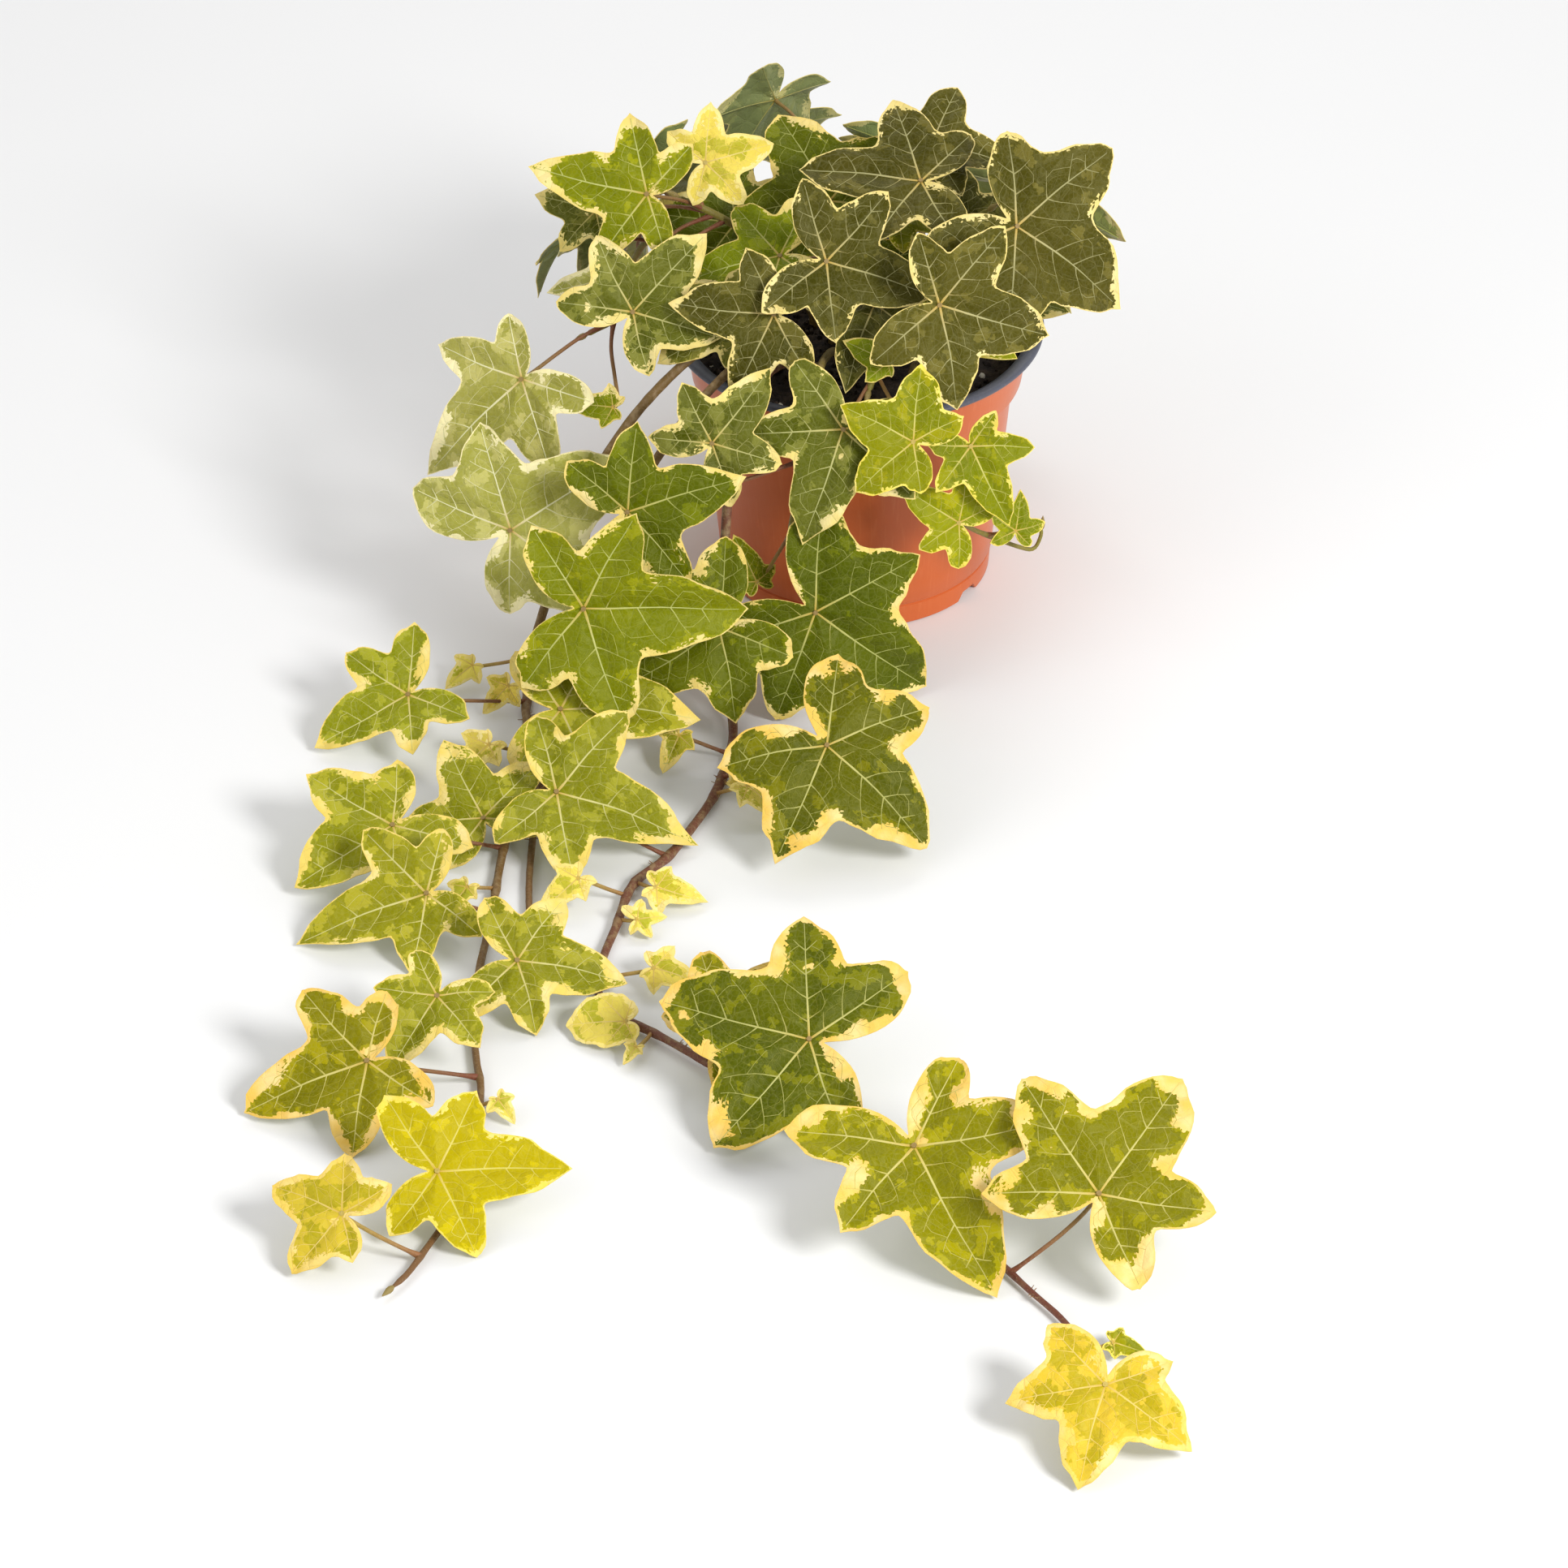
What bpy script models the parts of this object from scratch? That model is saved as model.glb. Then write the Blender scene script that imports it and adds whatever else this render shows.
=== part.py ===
"""Potted variegated ivy: a two-colour plastic pot of soil and its leafy stems.

The plan is worked out in millimetres, with the pot's axis at X = Y = 0 and its foot at Z = 0.
The picture was taken along +Y from 4 degrees above the ground, so a place read from it gives
X and Z, and the depth Y is chosen. Stems that hang below the pot in the picture lie along the
ground towards the viewer here.
"""

import math
import random
from dataclasses import dataclass, replace

import bmesh
import bpy
from mathutils import Matrix, Vector
from mathutils.bvhtree import BVHTree

MM = 0.001

# Reading the picture: millimetres in one picture unit, the pot's axis, its foot and the view's rise.
UNIT = 0.306
AXIS_X = 1018.0
FOOT_Y = 639.0
VIEW_RISE = math.tan(math.radians(4.0))
# Ground in front of the pot where the part of a stem that is lower than the foot begins to lie.
GROUND_START = 78.0
GROUND_Y = 655.0

# Pot: heights and radii.
POT_SIDES = 40
FOOT_R = 43.9
FOOT_INNER_R = 41.2
FOOT_H = 7.4
FOOT_GROOVE = 0.7
BODY_LOW_R = 44.7
BODY_TOP_R = 50.3
BAND_Z = 71.0
BAND_LOW_R = 53.3
BAND_TOP_R = 55.6
LIP_R = 60.0
LIP_Z = 86.9
POT_H = 89.0
WALL = 1.35
FLOOR_LOW = 3.6
FLOOR_TOP = 5.2
NOTCHES = 8
NOTCH_TURN = -34.0
NOTCH_LOW_W = 11.0
NOTCH_TOP_W = 6.0
NOTCH_H = 3.1
DRAINS = 6
DRAIN_R = 3.6
DRAIN_RING_R = 26.0

# Soil: it fills the pot with a hair of clearance, and the stems stand in plain round holes.
GAP = 0.3
SOIL_SIDES = 24
SOIL_EDGE_Z = 76.0
SOIL_RISE = 2.6
SOIL_ROUGH = 0.5
HOLE_SIDES = 8
HOLE_FLOOR = 60.0
HOLE_GAP = 0.45
STEM_FOOT = 60.5
STEM_OUT = 81.0

# Plant: sizes of leaves, petioles and stems.
BLADE_T = 0.8
PETIOLE_R = 0.72
STEM_SIDES = 5
STALK_SIDES = 3
STEM_STEP = 13.0
NODES_EACH = 4
FIRST_NODE = 9
SMALL_LEAF = 19.0
GROUND_LIFT = 1.0
CLEAR = 0.6
# How much a crossing counts when a leaf looks for its place: within its own stem, or with another.
OWN_CROSSING = 2.0
OTHER_CROSSING = 100.0

# Lobe lengths and angles of a leaf, as parts of the middle lobe's length and degrees from it.
# In order: side lobe length and angle, lower lobe length and angle, half the middle tip's angle,
# and half a lobe's width.
FORMS = {
    "star": (0.80, 66.0, 0.66, 124.0, 38.0, 0.28),
    "long": (0.68, 64.0, 0.54, 121.0, 30.0, 0.26),
    "broad": (0.90, 69.0, 0.74, 126.0, 44.0, 0.33),
    "arrow": (0.56, 70.0, 0.36, 130.0, 33.0, 0.30),
    "oval": (0.62, 50.0, 0.42, 110.0, 58.0, 0.46),
}
SIDE_TIP = 44.0
LOW_TIP = 50.0
NOTCH_DEPTH = 0.72
NOTCH_SPREAD = 17.0
SOFTEN = 9.0
SIDE_SOFTEN = 5.0


def read_place(px, py, depth):
    """Point in space for a place in the picture at a chosen depth."""
    z = (FOOT_Y - py) * UNIT - depth * VIEW_RISE
    return Vector(((px - AXIS_X) * UNIT, depth, z))


def laid_place(px, py, height):
    """Point on the ground for a place in the picture that hangs below the pot."""
    y = -(GROUND_START + (py - GROUND_Y) * UNIT)
    return Vector(((px - AXIS_X) * UNIT, y, height))


@dataclass(frozen=True)
class StemPlan:
    """Course of one stem: its foot in the soil, free points in mm, then ground points as read."""

    name: str
    foot: tuple
    free: tuple
    laid: tuple
    thick: float
    thin: float


STEMS = (
    StemPlan("trailing_stem_left", (-20, -13),
             ((-27, -18, 93), (-39, -28, 101), (-52, -38, 99), (-70, -50, 85), (-85, -59, 64),
              (-94, -65, 41), (-101, -70, 20), (-105, -76, 7)),
             ((675, 680), (674, 706), (676, 730), (675, 788), (668, 880), (659, 970), (652, 1078),
              (645, 1150), (641, 1220), (648, 1300), (654, 1345), (652, 1412), (650, 1472),
              (634, 1530), (611, 1588), (598, 1618), (586, 1636)), 1.6, 0.85),
    StemPlan("trailing_stem_mid", (-17, -22),
             ((-22, -30, 92), (-32, -41, 100), (-42, -50, 99), (-58, -62, 85), (-73, -71, 62),
              (-84, -77, 38), (-91, -81, 17), (-94, -86, 6)),
             ((708, 690), (700, 722), (697, 760), (694, 830), (690, 910), (688, 996), (690, 1062),
              (694, 1112), (692, 1150)), 1.5, 0.95),
    StemPlan("trailing_stem_front", (-9, -27),
             ((-13, -34, 92), (-22, -45, 101), (-31, -55, 99), (-39, -69, 82), (-42, -79, 56),
              (-42, -85, 30), (-41, -91, 10)),
             ((889, 745), (885, 790), (879, 825), (869, 865), (851, 911), (825, 967),
              (791, 1015), (776, 1085), (764, 1140), (761, 1190), (781, 1228), (823, 1262),
              (885, 1318), (948, 1372), (1008, 1425), (1065, 1492), (1131, 1591), (1164, 1641),
              (1191, 1680), (1209, 1718), (1220, 1760), (1214, 1790)), 1.6, 0.8),
    StemPlan("rim_shoot", (18, -20),
             ((18, -30, 91), (17, -43, 97), (15.5, -56, 97.5), (15.5, -65.5, 88),
              (16.5, -66, 77), (24, -62.5, 62), (34, -57, 48), (43, -51, 39.5),
              (52, -46, 32.5), (56.5, -43, 30), (58.6, -42, 33.5), (59.0, -42, 37)), (), 1.2, 0.6),
    StemPlan("crown_left_top", (-8, 6),
             ((-11, 6, 92), (-24, 4, 110), (-42, 2, 125), (-57, 1, 134)), (), 1.4, 0.9),
    StemPlan("crown_left_side", (-20, 0),
             ((-25, -3, 90), (-43, -10, 102), (-65, -17, 106), (-86, -25, 99)), (), 1.4, 0.9),
    StemPlan("crown_front", (-2, -14),
             ((-5, -24, 91), (-9, -38, 100), (-13, -55, 102), (-17, -70, 88),
              (-20, -74, 66), (-22, -74, 50)), (), 1.4, 0.9),
    StemPlan("crown_top", (2, 0),
             ((2, -3, 93), (0, -10, 109), (-4, -18, 123), (-7, -24, 132)), (), 1.4, 0.9),
    StemPlan("crown_right", (12, 4),
             ((14, 3, 92), (22, 0, 109), (33, -5, 126), (41, -9, 135)), (), 1.4, 0.9),
    StemPlan("crown_right_front", (8, -16),
             ((8, -25, 92), (8, -38, 101), (6, -51, 105), (3, -61, 100)), (), 1.4, 0.9),
    StemPlan("crown_back_left", (-14, 17),
             ((-20, 23, 91), (-36, 34, 98), (-53, 45, 99), (-68, 54, 88), (-76, 58, 72)),
             (), 1.4, 0.9),
    StemPlan("crown_back", (0, 19),
             ((-1, 26, 92), (-3, 38, 101), (-6, 54, 103), (-9, 69, 93), (-11, 76, 75),
              (-12, 79, 56)), (), 1.4, 0.9),
    StemPlan("crown_back_right", (17, 15),
             ((17, 25, 89), (18, 40, 96), (20, 56, 97), (22, 69, 84), (23, 73, 64),
              (24, 75, 44)), (), 1.4, 0.9),
)


@dataclass(frozen=True)
class LeafPlan:
    """One leaf: its stem, its joint in space, where it points, its size and how it bends."""

    name: str
    stem: str
    joint: Vector
    tip_way: Vector
    normal: Vector
    length: float
    form: str
    laid: bool
    seed: int


# Leaves that the picture shows. Columns: name, stem, joint across and down, depth in mm or None
# for a leaf on the ground, way of the middle lobe in degrees from right, its length, its form,
# turn of the face to the right and its tilt upwards in degrees.
A, B, C, D = ("trailing_stem_left", "trailing_stem_mid", "trailing_stem_front", "rim_shoot")
LT, LS, CF, CT = ("crown_left_top", "crown_left_side", "crown_front", "crown_top")
CR, RF = ("crown_right", "crown_right_front")
SEEN = (
    ("top_left", LT, 800, 176, -12, 164, 122, "long", -15, 35),
    ("yellow_back", LT, 858, 172, 8, 18, 75, "star", 10, 32),
    ("left_upper", LT, 788, 279, -34, 54, 107, "star", -10, 30),
    ("left_peek", LT, 745, 225, 6, 162, 62, "star", -20, 35),
    ("left_edge", LT, 752, 278, -12, 194, 61, "arrow", -25, 62),
    ("left_wing", LS, 670, 349, -40, 229, 150, "long", -20, 28),
    ("left_small", LS, 765, 372, -46, 172, 48, "arrow", -10, 45),
    ("centre_left", LS, 921, 268, -42, 173, 107, "star", 0, 30),
    ("left_low", A, 659, 478, -70, 36, 144, "broad", -18, 20),
    ("front_low", B, 744, 534, -88, -2, 168, "star", -5, 18),
    ("front_mid", CF, 803, 443, -72, 19, 125, "star", -5, 25),
    ("front_high", CF, 868, 392, -66, 54, 85, "star", 0, 35),
    ("front_deep", CF, 973, 582, -86, -40, 155, "broad", 6, 16),
    ("front_tiny", CF, 913, 537, -72, 115, 50, "arrow", 0, 25),
    ("top_mid", CT, 984, 213, -38, -21, 118, "star", 5, 35),
    ("top_back", CT, 1082, 169, -6, 163, 125, "star", 0, 66),
    ("top_flat", CR, 1092, 160, 12, 2, 101, "star", 10, 68),
    ("top_right", CR, 1178, 195, -24, -40, 145, "broad", 20, 35),
    ("mid_right", CR, 1094, 257, -48, -20, 130, "star", 10, 30),
    ("centre_hang", RF, 1002, 353, -70, 254, 121, "star", -4, 20),
    ("centre_peek", RF, 1047, 297, -58, 149, 50, "arrow", 0, 35),
    ("centre_small", RF, 1072, 353, -80, 150, 82, "broad", 5, 25),
    ("rim_long", D, 1132, 380, -68, -68, 93, "long", 12, 20),
    ("rim_star", D, 1121, 465, -72, 145, 73, "star", 12, 15),
    ("rim_young", D, 1182, 508, -54, 71, 38, "star", 20, 20),
    ("low_small", A, 656, 636, -92, 235, 38, "arrow", -10, 35),
    ("low_tiny", A, 617, 650, None, 240, 39, "arrow", -10, 57),
    ("foot_star", C, 875, 750, None, 217, 118, "broad", 0, 32),
    ("foot_small", C, 834, 788, None, 258, 45, "arrow", 0, 59),
    ("bend_star", A, 556, 738, None, 226, 109, "star", -12, 57),
    ("bend_tiny", B, 722, 726, None, 290, 24, "star", 0, 57),
    ("mid_star", B, 740, 792, None, 2, 142, "star", 8, 57),
    ("mid_small_left", A, 640, 800, None, 242, 53, "arrow", -10, 57),
    ("mid_small_right", B, 720, 860, None, 300, 50, "arrow", 0, 57),
    ("left_behind", A, 640, 934, None, 104, 105, "star", -5, 62),
    ("node_long", C, 714, 931, None, -30, 150, "long", 0, 57),
    ("left_star", A, 553, 968, None, 238, 114, "broad", -10, 59),
    ("left_swept", A, 591, 1084, None, 214, 139, "long", -8, 57),
    ("left_chip", A, 628, 1040, None, 250, 35, "arrow", -5, 57),
    ("mid_end", B, 684, 1195, None, -14, 110, "star", 5, 59),
    ("left_tongue", A, 611, 1266, None, 252, 87, "star", 0, 59),
    ("left_cream", A, 548, 1354, None, 216, 130, "star", -8, 57),
    ("bud_spray", A, 672, 1376, None, 290, 30, "arrow", 0, 57),
    ("left_last", A, 622, 1516, None, 6, 124, "star", 4, 59),
    ("left_end", A, 538, 1572, None, 141, 76, "broad", -10, 57),
    ("front_chip", C, 898, 848, None, 60, 46, "arrow", 8, 57),
    ("front_chip_low", C, 905, 884, None, 300, 50, "arrow", 5, 57),
    ("wide_gold", C, 984, 933, None, -61, 145, "broad", 8, 55),
    ("node_chip", C, 815, 1034, None, -28, 53, "arrow", 5, 59),
    ("node_tiny", C, 797, 1085, None, 20, 30, "star", 0, 59),
    ("node_cream", C, 738, 1040, None, 238, 52, "arrow", -5, 57),
    ("turn_small", C, 815, 1175, None, -30, 52, "arrow", 0, 59),
    ("turn_tiny", C, 800, 1290, None, 250, 22, "arrow", 0, 59),
    ("turn_cream", C, 789, 1256, None, 178, 58, "oval", -10, 59),
    ("run_behind", C, 885, 1306, None, 63, 115, "star", -5, 60),
    ("run_top", C, 965, 1352, None, 152, 153, "broad", 5, 57),
    ("run_fan", C, 1060, 1534, None, 287, 165, "star", -5, 59),
    ("run_right", C, 1197, 1580, None, 68, 158, "star", 8, 59),
    ("end_umbrella", C, 1223, 1830, None, 262, 98, "broad", 4, 65),
    ("end_chip", C, 1236, 1722, None, 330, 34, "arrow", 8, 57),
    ("fill_left", CT, 944, 285, -8, 205, 100, "star", -15, 52),
    ("fill_front", RF, 1034, 306, -28, 262, 96, "star", 0, 50),
    ("fill_right", CR, 1092, 292, -26, -35, 98, "star", 15, 50),
    ("fill_back", CT, 990, 262, 18, 110, 104, "broad", -5, 62),
    ("fill_back_right", CR, 1118, 270, 20, 30, 100, "star", 15, 58),
    ("fill_left_front", LS, 900, 300, -30, 215, 92, "long", -20, 45),
    ("fill_right_edge", CR, 1156, 300, -6, -10, 92, "star", 25, 48),
    ("fill_back_left", LT, 890, 262, 20, 150, 100, "star", -20, 58),
    ("fill_centre", CT, 1020, 275, -2, 290, 90, "star", 5, 60),
    ("fill_high", CR, 1050, 235, 4, 60, 86, "star", 5, 66),
)

# Leaves of the stems behind the pot, which the picture hides: how many, and their sizes in mm.
HIDDEN_STEMS = ("crown_back_left", "crown_back", "crown_back_right")
HIDDEN_EACH = 7
HIDDEN_SIZES = (26.0, 42.0)
HIDDEN_SEED = 41


def smooth_course(points, step):
    """Even points along a smooth curve through the given ones."""
    ends = [points[0] * 2 - points[1]] + list(points) + [points[-1] * 2 - points[-2]]
    fine = []
    for i in range(1, len(ends) - 2):
        a, b, c, d = ends[i - 1:i + 3]
        for k in range(8):
            t = k / 8.0
            fine.append(0.5 * (2 * b + (c - a) * t + (2 * a - 5 * b + 4 * c - d) * t * t
                               + (3 * b - a - 3 * c + d) * t ** 3))
    fine.append(points[-1].copy())
    total = sum((q - p).length for p, q in zip(fine, fine[1:]))
    count = max(2, round(total / step))
    even, walked, want = [fine[0].copy()], 0.0, total / count
    for p, q in zip(fine, fine[1:]):
        gap = (q - p).length
        while walked + gap >= want and len(even) < count:
            even.append(p.lerp(q, (want - walked) / gap))
            want += total / count
        walked += gap
    even.append(points[-1].copy())
    return even


def stem_course(plan):
    """Centre line of a stem, from its foot in the soil to its tip."""
    x, y = plan.foot
    line = [Vector((x, y, STEM_OUT))] + [Vector(p) for p in plan.free]
    line += [laid_place(px, py, plan.thick + 0.4) for px, py in plan.laid]
    return [Vector((x, y, STEM_FOOT))] + smooth_course(line, STEM_STEP)


def with_nodes(course):
    """The same course with even points between, where leaf stalks can start."""
    points = []
    for p, q in zip(course, course[1:]):
        points += [p.lerp(q, k / NODES_EACH) for k in range(NODES_EACH)]
    return points + [course[-1]]


def radii_along(count, thick, thin):
    """Stem radius at each point of its course."""
    return [thick + (thin - thick) * (i / (count - 1)) ** 1.5 for i in range(count)]


def lobed_radius(form, angle, sway):
    """Distance from the joint to the leaf's edge, as a part of the middle lobe's length."""
    side_r, side_a, low_r, low_a, tip, wide = FORMS[form]
    lobes = [(1.0, 0.0, tip)]
    for k, s in enumerate((1.0, -1.0)):
        lobes.append((side_r * (1 + sway[k]), s * side_a + sway[4], SIDE_TIP))
        lobes.append((low_r * (1 + sway[2 + k]), s * low_a + sway[4] * 0.5, LOW_TIP))
    total = 0.0
    for radius, middle, half in lobes:
        off = abs((angle - middle + 180.0) % 360.0 - 180.0)
        edge = radius * math.sin(math.radians(half))
        sine = max(0.001, math.sin(math.radians(off + half)))
        wedge = edge / sine if off + half < 90.0 else edge * sine
        strip = radius * wide / max(0.001, math.sin(math.radians(min(off, 90.0))))
        side = (wedge ** -SIDE_SOFTEN + strip ** -SIDE_SOFTEN) ** (-1 / SIDE_SOFTEN)
        total += side ** SOFTEN
    back = 180.0 - abs((angle + 180.0) % 360.0 - 180.0)
    return total ** (1 / SOFTEN) * (1 - NOTCH_DEPTH * math.exp(-(back / NOTCH_SPREAD) ** 2))


@dataclass(frozen=True)
class Bend:
    """How a blade leaves its plane, as parts of its length, and how its lobes differ."""

    fold: float
    droop: float
    wave: float
    phase: float
    sway: tuple

    def height(self, u, v):
        """Height over the leaf's plane at u along and v across the middle vein."""
        r2 = u * u + v * v
        turn = math.atan2(v, u)
        up = self.fold * (math.sqrt(v * v + 0.002) - 0.045) - self.droop * r2
        return up + self.wave * r2 * math.sin(3.0 * turn + self.phase)


def bend_of(leaf):
    """The bend of a leaf, drawn from its own seed."""
    rng = random.Random(leaf.seed * 7 + 3)
    sway = tuple(rng.uniform(-0.15, 0.11) for _ in range(4)) + (rng.uniform(-5.0, 5.0),)
    return Bend(rng.uniform(0.02, 0.26), rng.uniform(0.04, 0.26), rng.uniform(0.02, 0.12),
                rng.uniform(0, math.tau), sway)


def leaf_axes(leaf):
    """The leaf's own directions: along the middle vein, across it, and out of its face."""
    n = leaf.normal.normalized()
    along = (leaf.tip_way - n * leaf.tip_way.dot(n)).normalized()
    return along, n.cross(along), n


def edge_angles(leaf):
    """Angles at which the blade's edge is drawn: every tip and hollow, fewer on a small leaf."""
    side_a, low_a = FORMS[leaf.form][1], FORMS[leaf.form][3]
    half = [side_a * 0.49, side_a, (side_a + low_a) * 0.5, low_a, 158.0]
    if leaf.length > SMALL_LEAF:
        half = [13.0, side_a * 0.49, side_a, (side_a + low_a) * 0.5, low_a, low_a + 18.0, 164.0]
    return [0.0] + half + [180.0] + [360.0 - a for a in reversed(half)]


def blade_mesh(leaf, bend, thick, grow=0.0):
    """Corners and triangles of a leaf's blade, as a thin closed solid."""
    along, across, n = leaf_axes(leaf)
    rim = []
    for angle in edge_angles(leaf):
        r = lobed_radius(leaf.form, angle, bend.sway) + grow / leaf.length
        u, v = r * math.cos(math.radians(angle)), r * math.sin(math.radians(angle))
        place = along * u + across * v + n * bend.height(u, v)
        rim.append(leaf.joint + place * leaf.length)
    count = len(rim)
    half = n * (thick / 2)
    verts = [leaf.joint + half] + [p + half for p in rim]
    verts += [leaf.joint - half] + [p - half for p in rim]
    low = count + 1
    faces = []
    for i in range(count):
        j = (i + 1) % count
        a, b, c, d = 1 + i, 1 + j, low + 1 + i, low + 1 + j
        faces += [(0, a, b), (low, d, c), (a, c, b), (b, c, d)]
    return verts, faces


def tube_mesh(course, radii, sides):
    """Corners and faces of a closed tube along a course."""
    verts, faces = [], []
    side = None
    for i, p in enumerate(course):
        ahead = course[min(i + 1, len(course) - 1)] - course[max(i - 1, 0)]
        ahead.normalize()
        if side is None:
            side = ahead.orthogonal().normalized()
        side = (side - ahead * side.dot(ahead)).normalized()
        other = ahead.cross(side)
        for k in range(sides):
            turn = math.tau * k / sides
            verts.append(p + (side * math.cos(turn) + other * math.sin(turn)) * radii[i])
    for i in range(len(course) - 1):
        for k in range(sides):
            a, b = i * sides + k, i * sides + (k + 1) % sides
            faces += [(a, b, b + sides), (a, b + sides, a + sides)]
    last = (len(course) - 1) * sides
    for k in range(1, sides - 1):
        faces += [(0, k + 1, k), (last, last + k, last + k + 1)]
    return verts, faces


def petiole_course(leaf, course):
    """Course of a leaf's stalk, from inside its stem to the joint under the blade."""
    along, _, n = leaf_axes(leaf)
    near = min(range(FIRST_NODE, len(course)), key=lambda i: (course[i] - leaf.joint).length)
    away = (course[near] - leaf.joint).length
    back = near
    while back > FIRST_NODE and (course[near] - course[back]).length < 0.35 * away:
        back -= 1
    after = course[min(back + 1, len(course) - 1)]
    start = course[back].lerp(after, 0.08 + 0.17 * (leaf.seed % 6))
    ahead = (after - course[back - 1]).normalized()
    reach = (leaf.joint - start).length
    way = ((leaf.joint - start).normalized() + ahead * 0.35 + Vector((0, 0, 0.25))).normalized()
    p1 = start + way * reach * 0.4
    p2 = leaf.joint - n * reach * 0.3 - along * reach * 0.12
    count = 4 if reach > 22 else 3
    line = []
    for i in range(count):
        t = i / count
        s = 1 - t
        line.append(start * s ** 3 + p1 * (3 * s * s * t) + p2 * (3 * s * t * t)
                    + leaf.joint * t ** 3)
    line += [leaf.joint - n * min(1.6, reach * 0.1), leaf.joint - n * 0.05]
    for p in line[1:]:
        p.z = max(p.z, PETIOLE_R + 0.5)
    return line


def solid_of(verts, faces):
    """Search tree and box of a solid, for finding what crosses it."""
    low = Vector([min(v[k] for v in verts) for k in range(3)])
    high = Vector([max(v[k] for v in verts) for k in range(3)])
    return BVHTree.FromPolygons(verts, faces), low, high


def crosses(one, other):
    """Whether two solids' surfaces meet."""
    for k in range(3):
        if one[1][k] > other[2][k] or other[1][k] > one[2][k]:
            return False
    return bool(one[0].overlap(other[0]))


def pot_outline():
    """Closed outline of the pot's wall and floor, as radius and height."""
    inner_band_low, inner_band_top = BAND_LOW_R - WALL, BAND_TOP_R - WALL
    return [
        (0.0, FLOOR_LOW), (FOOT_INNER_R - 0.6, FLOOR_LOW), (FOOT_INNER_R, FLOOR_LOW - 0.6),
        (FOOT_INNER_R, 0.0), (FOOT_R, 0.0), (FOOT_R + 0.5, FOOT_H - 0.6),
        (BODY_LOW_R - FOOT_GROOVE, FOOT_H), (BODY_LOW_R, FOOT_H + 0.9),
        (BODY_TOP_R, BAND_Z - 1.6), (BODY_TOP_R + 0.5, BAND_Z - 0.5),
        (BAND_LOW_R - 0.5, BAND_Z), (BAND_LOW_R, BAND_Z + 0.6), (BAND_TOP_R, LIP_Z),
        (LIP_R - 0.5, LIP_Z + 0.5), (LIP_R, LIP_Z + 1.2), (LIP_R - 0.9, POT_H),
        (BAND_TOP_R + 1.2, POT_H - 0.2), (inner_band_top, LIP_Z - 0.8),
        (inner_band_low, BAND_Z + 1.2), (BODY_TOP_R - WALL, BAND_Z - 1.2),
        (BODY_LOW_R - WALL, FLOOR_TOP + 1.0), (BODY_LOW_R - WALL - 1.0, FLOOR_TOP),
        (0.0, FLOOR_TOP),
    ]


def soil_outline():
    """Outline of the soil, a hair inside the pot's wall and floor."""
    side = (BODY_TOP_R - BODY_LOW_R) / (BAND_Z - 1.6 - FOOT_H)
    wall_low = BODY_LOW_R - WALL
    top_r = BAND_LOW_R - WALL - GAP - 0.1
    return [
        (0.0, FLOOR_TOP + GAP), (wall_low - 1.5, FLOOR_TOP + GAP),
        (wall_low - GAP - 0.15, FLOOR_TOP + 1.6),
        (wall_low - GAP - 0.2 + side * (BAND_Z - FLOOR_TOP - 3.2), BAND_Z - 1.0),
        (top_r, BAND_Z + 1.7), (top_r + 0.35, SOIL_EDGE_Z),
        (44.0, SOIL_EDGE_Z + SOIL_RISE * 0.5), (30.0, SOIL_EDGE_Z + SOIL_RISE * 0.8),
        (14.0, SOIL_EDGE_Z + SOIL_RISE), (0.0, SOIL_EDGE_Z + SOIL_RISE),
    ]


def turned_mesh(outline, sides, shift=None):
    """Corners and faces of a solid turned about Z. The outline starts and ends on the axis."""
    verts, rows = [], []
    for i, (r, z) in enumerate(outline):
        if r == 0.0:
            rows.append([len(verts)] * sides)
            verts.append(Vector((0, 0, z)))
            continue
        rows.append(list(range(len(verts), len(verts) + sides)))
        for k in range(sides):
            turn = math.tau * k / sides
            lift = shift(i, k) if shift else 0.0
            verts.append(Vector((r * math.cos(turn), r * math.sin(turn), z + lift)))
    faces = []
    for low, high in zip(rows, rows[1:]):
        for k in range(sides):
            j = (k + 1) % sides
            corners = [low[k], low[j], high[j], high[k]]
            faces.append(tuple(dict.fromkeys(corners)))
    return verts, faces


def solids_fixed():
    """The pot and each stem as solids that leaves keep clear of."""
    fixed = [("pot", "pot", solid_of(*turned_mesh(pot_outline(), POT_SIDES))),
             ("soil", "soil", solid_of(*turned_mesh(soil_outline(), SOIL_SIDES)))]
    courses = {}
    for plan in STEMS:
        course = stem_course(plan)
        courses[plan.name] = with_nodes(course)
        radii = [r + CLEAR for r in radii_along(len(course), plan.thick, plan.thin)]
        fixed.append((plan.name, plan.name, solid_of(*tube_mesh(course[1:], radii[1:], 6))))
    return fixed, courses


def face_normal(turn, tilt):
    """Way a leaf faces: towards the viewer, turned right and tilted up by so many degrees."""
    turn, tilt = math.radians(turn), math.radians(tilt)
    return Vector((math.sin(turn) * math.cos(tilt), -math.cos(turn) * math.cos(tilt),
                   math.sin(tilt)))


def picture_leaves():
    """Leaves read from the picture."""
    leaves = []
    for i, row in enumerate(SEEN):
        name, stem, px, py, depth, way, size, form, turn, tilt = row
        n = face_normal(turn, tilt)
        way = math.radians(way)
        flat = Vector((math.cos(way), 0, math.sin(way)))
        seen = (flat - n * flat.dot(n)).length
        laid = depth is None
        length = size * UNIT / (1.0 if laid else max(seen, 0.85))
        joint = laid_place(px, py, 0.0) if laid else read_place(px, py, depth)
        leaves.append(LeafPlan(name, stem, joint, flat, n, length, form, laid, i))
    return leaves


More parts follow.
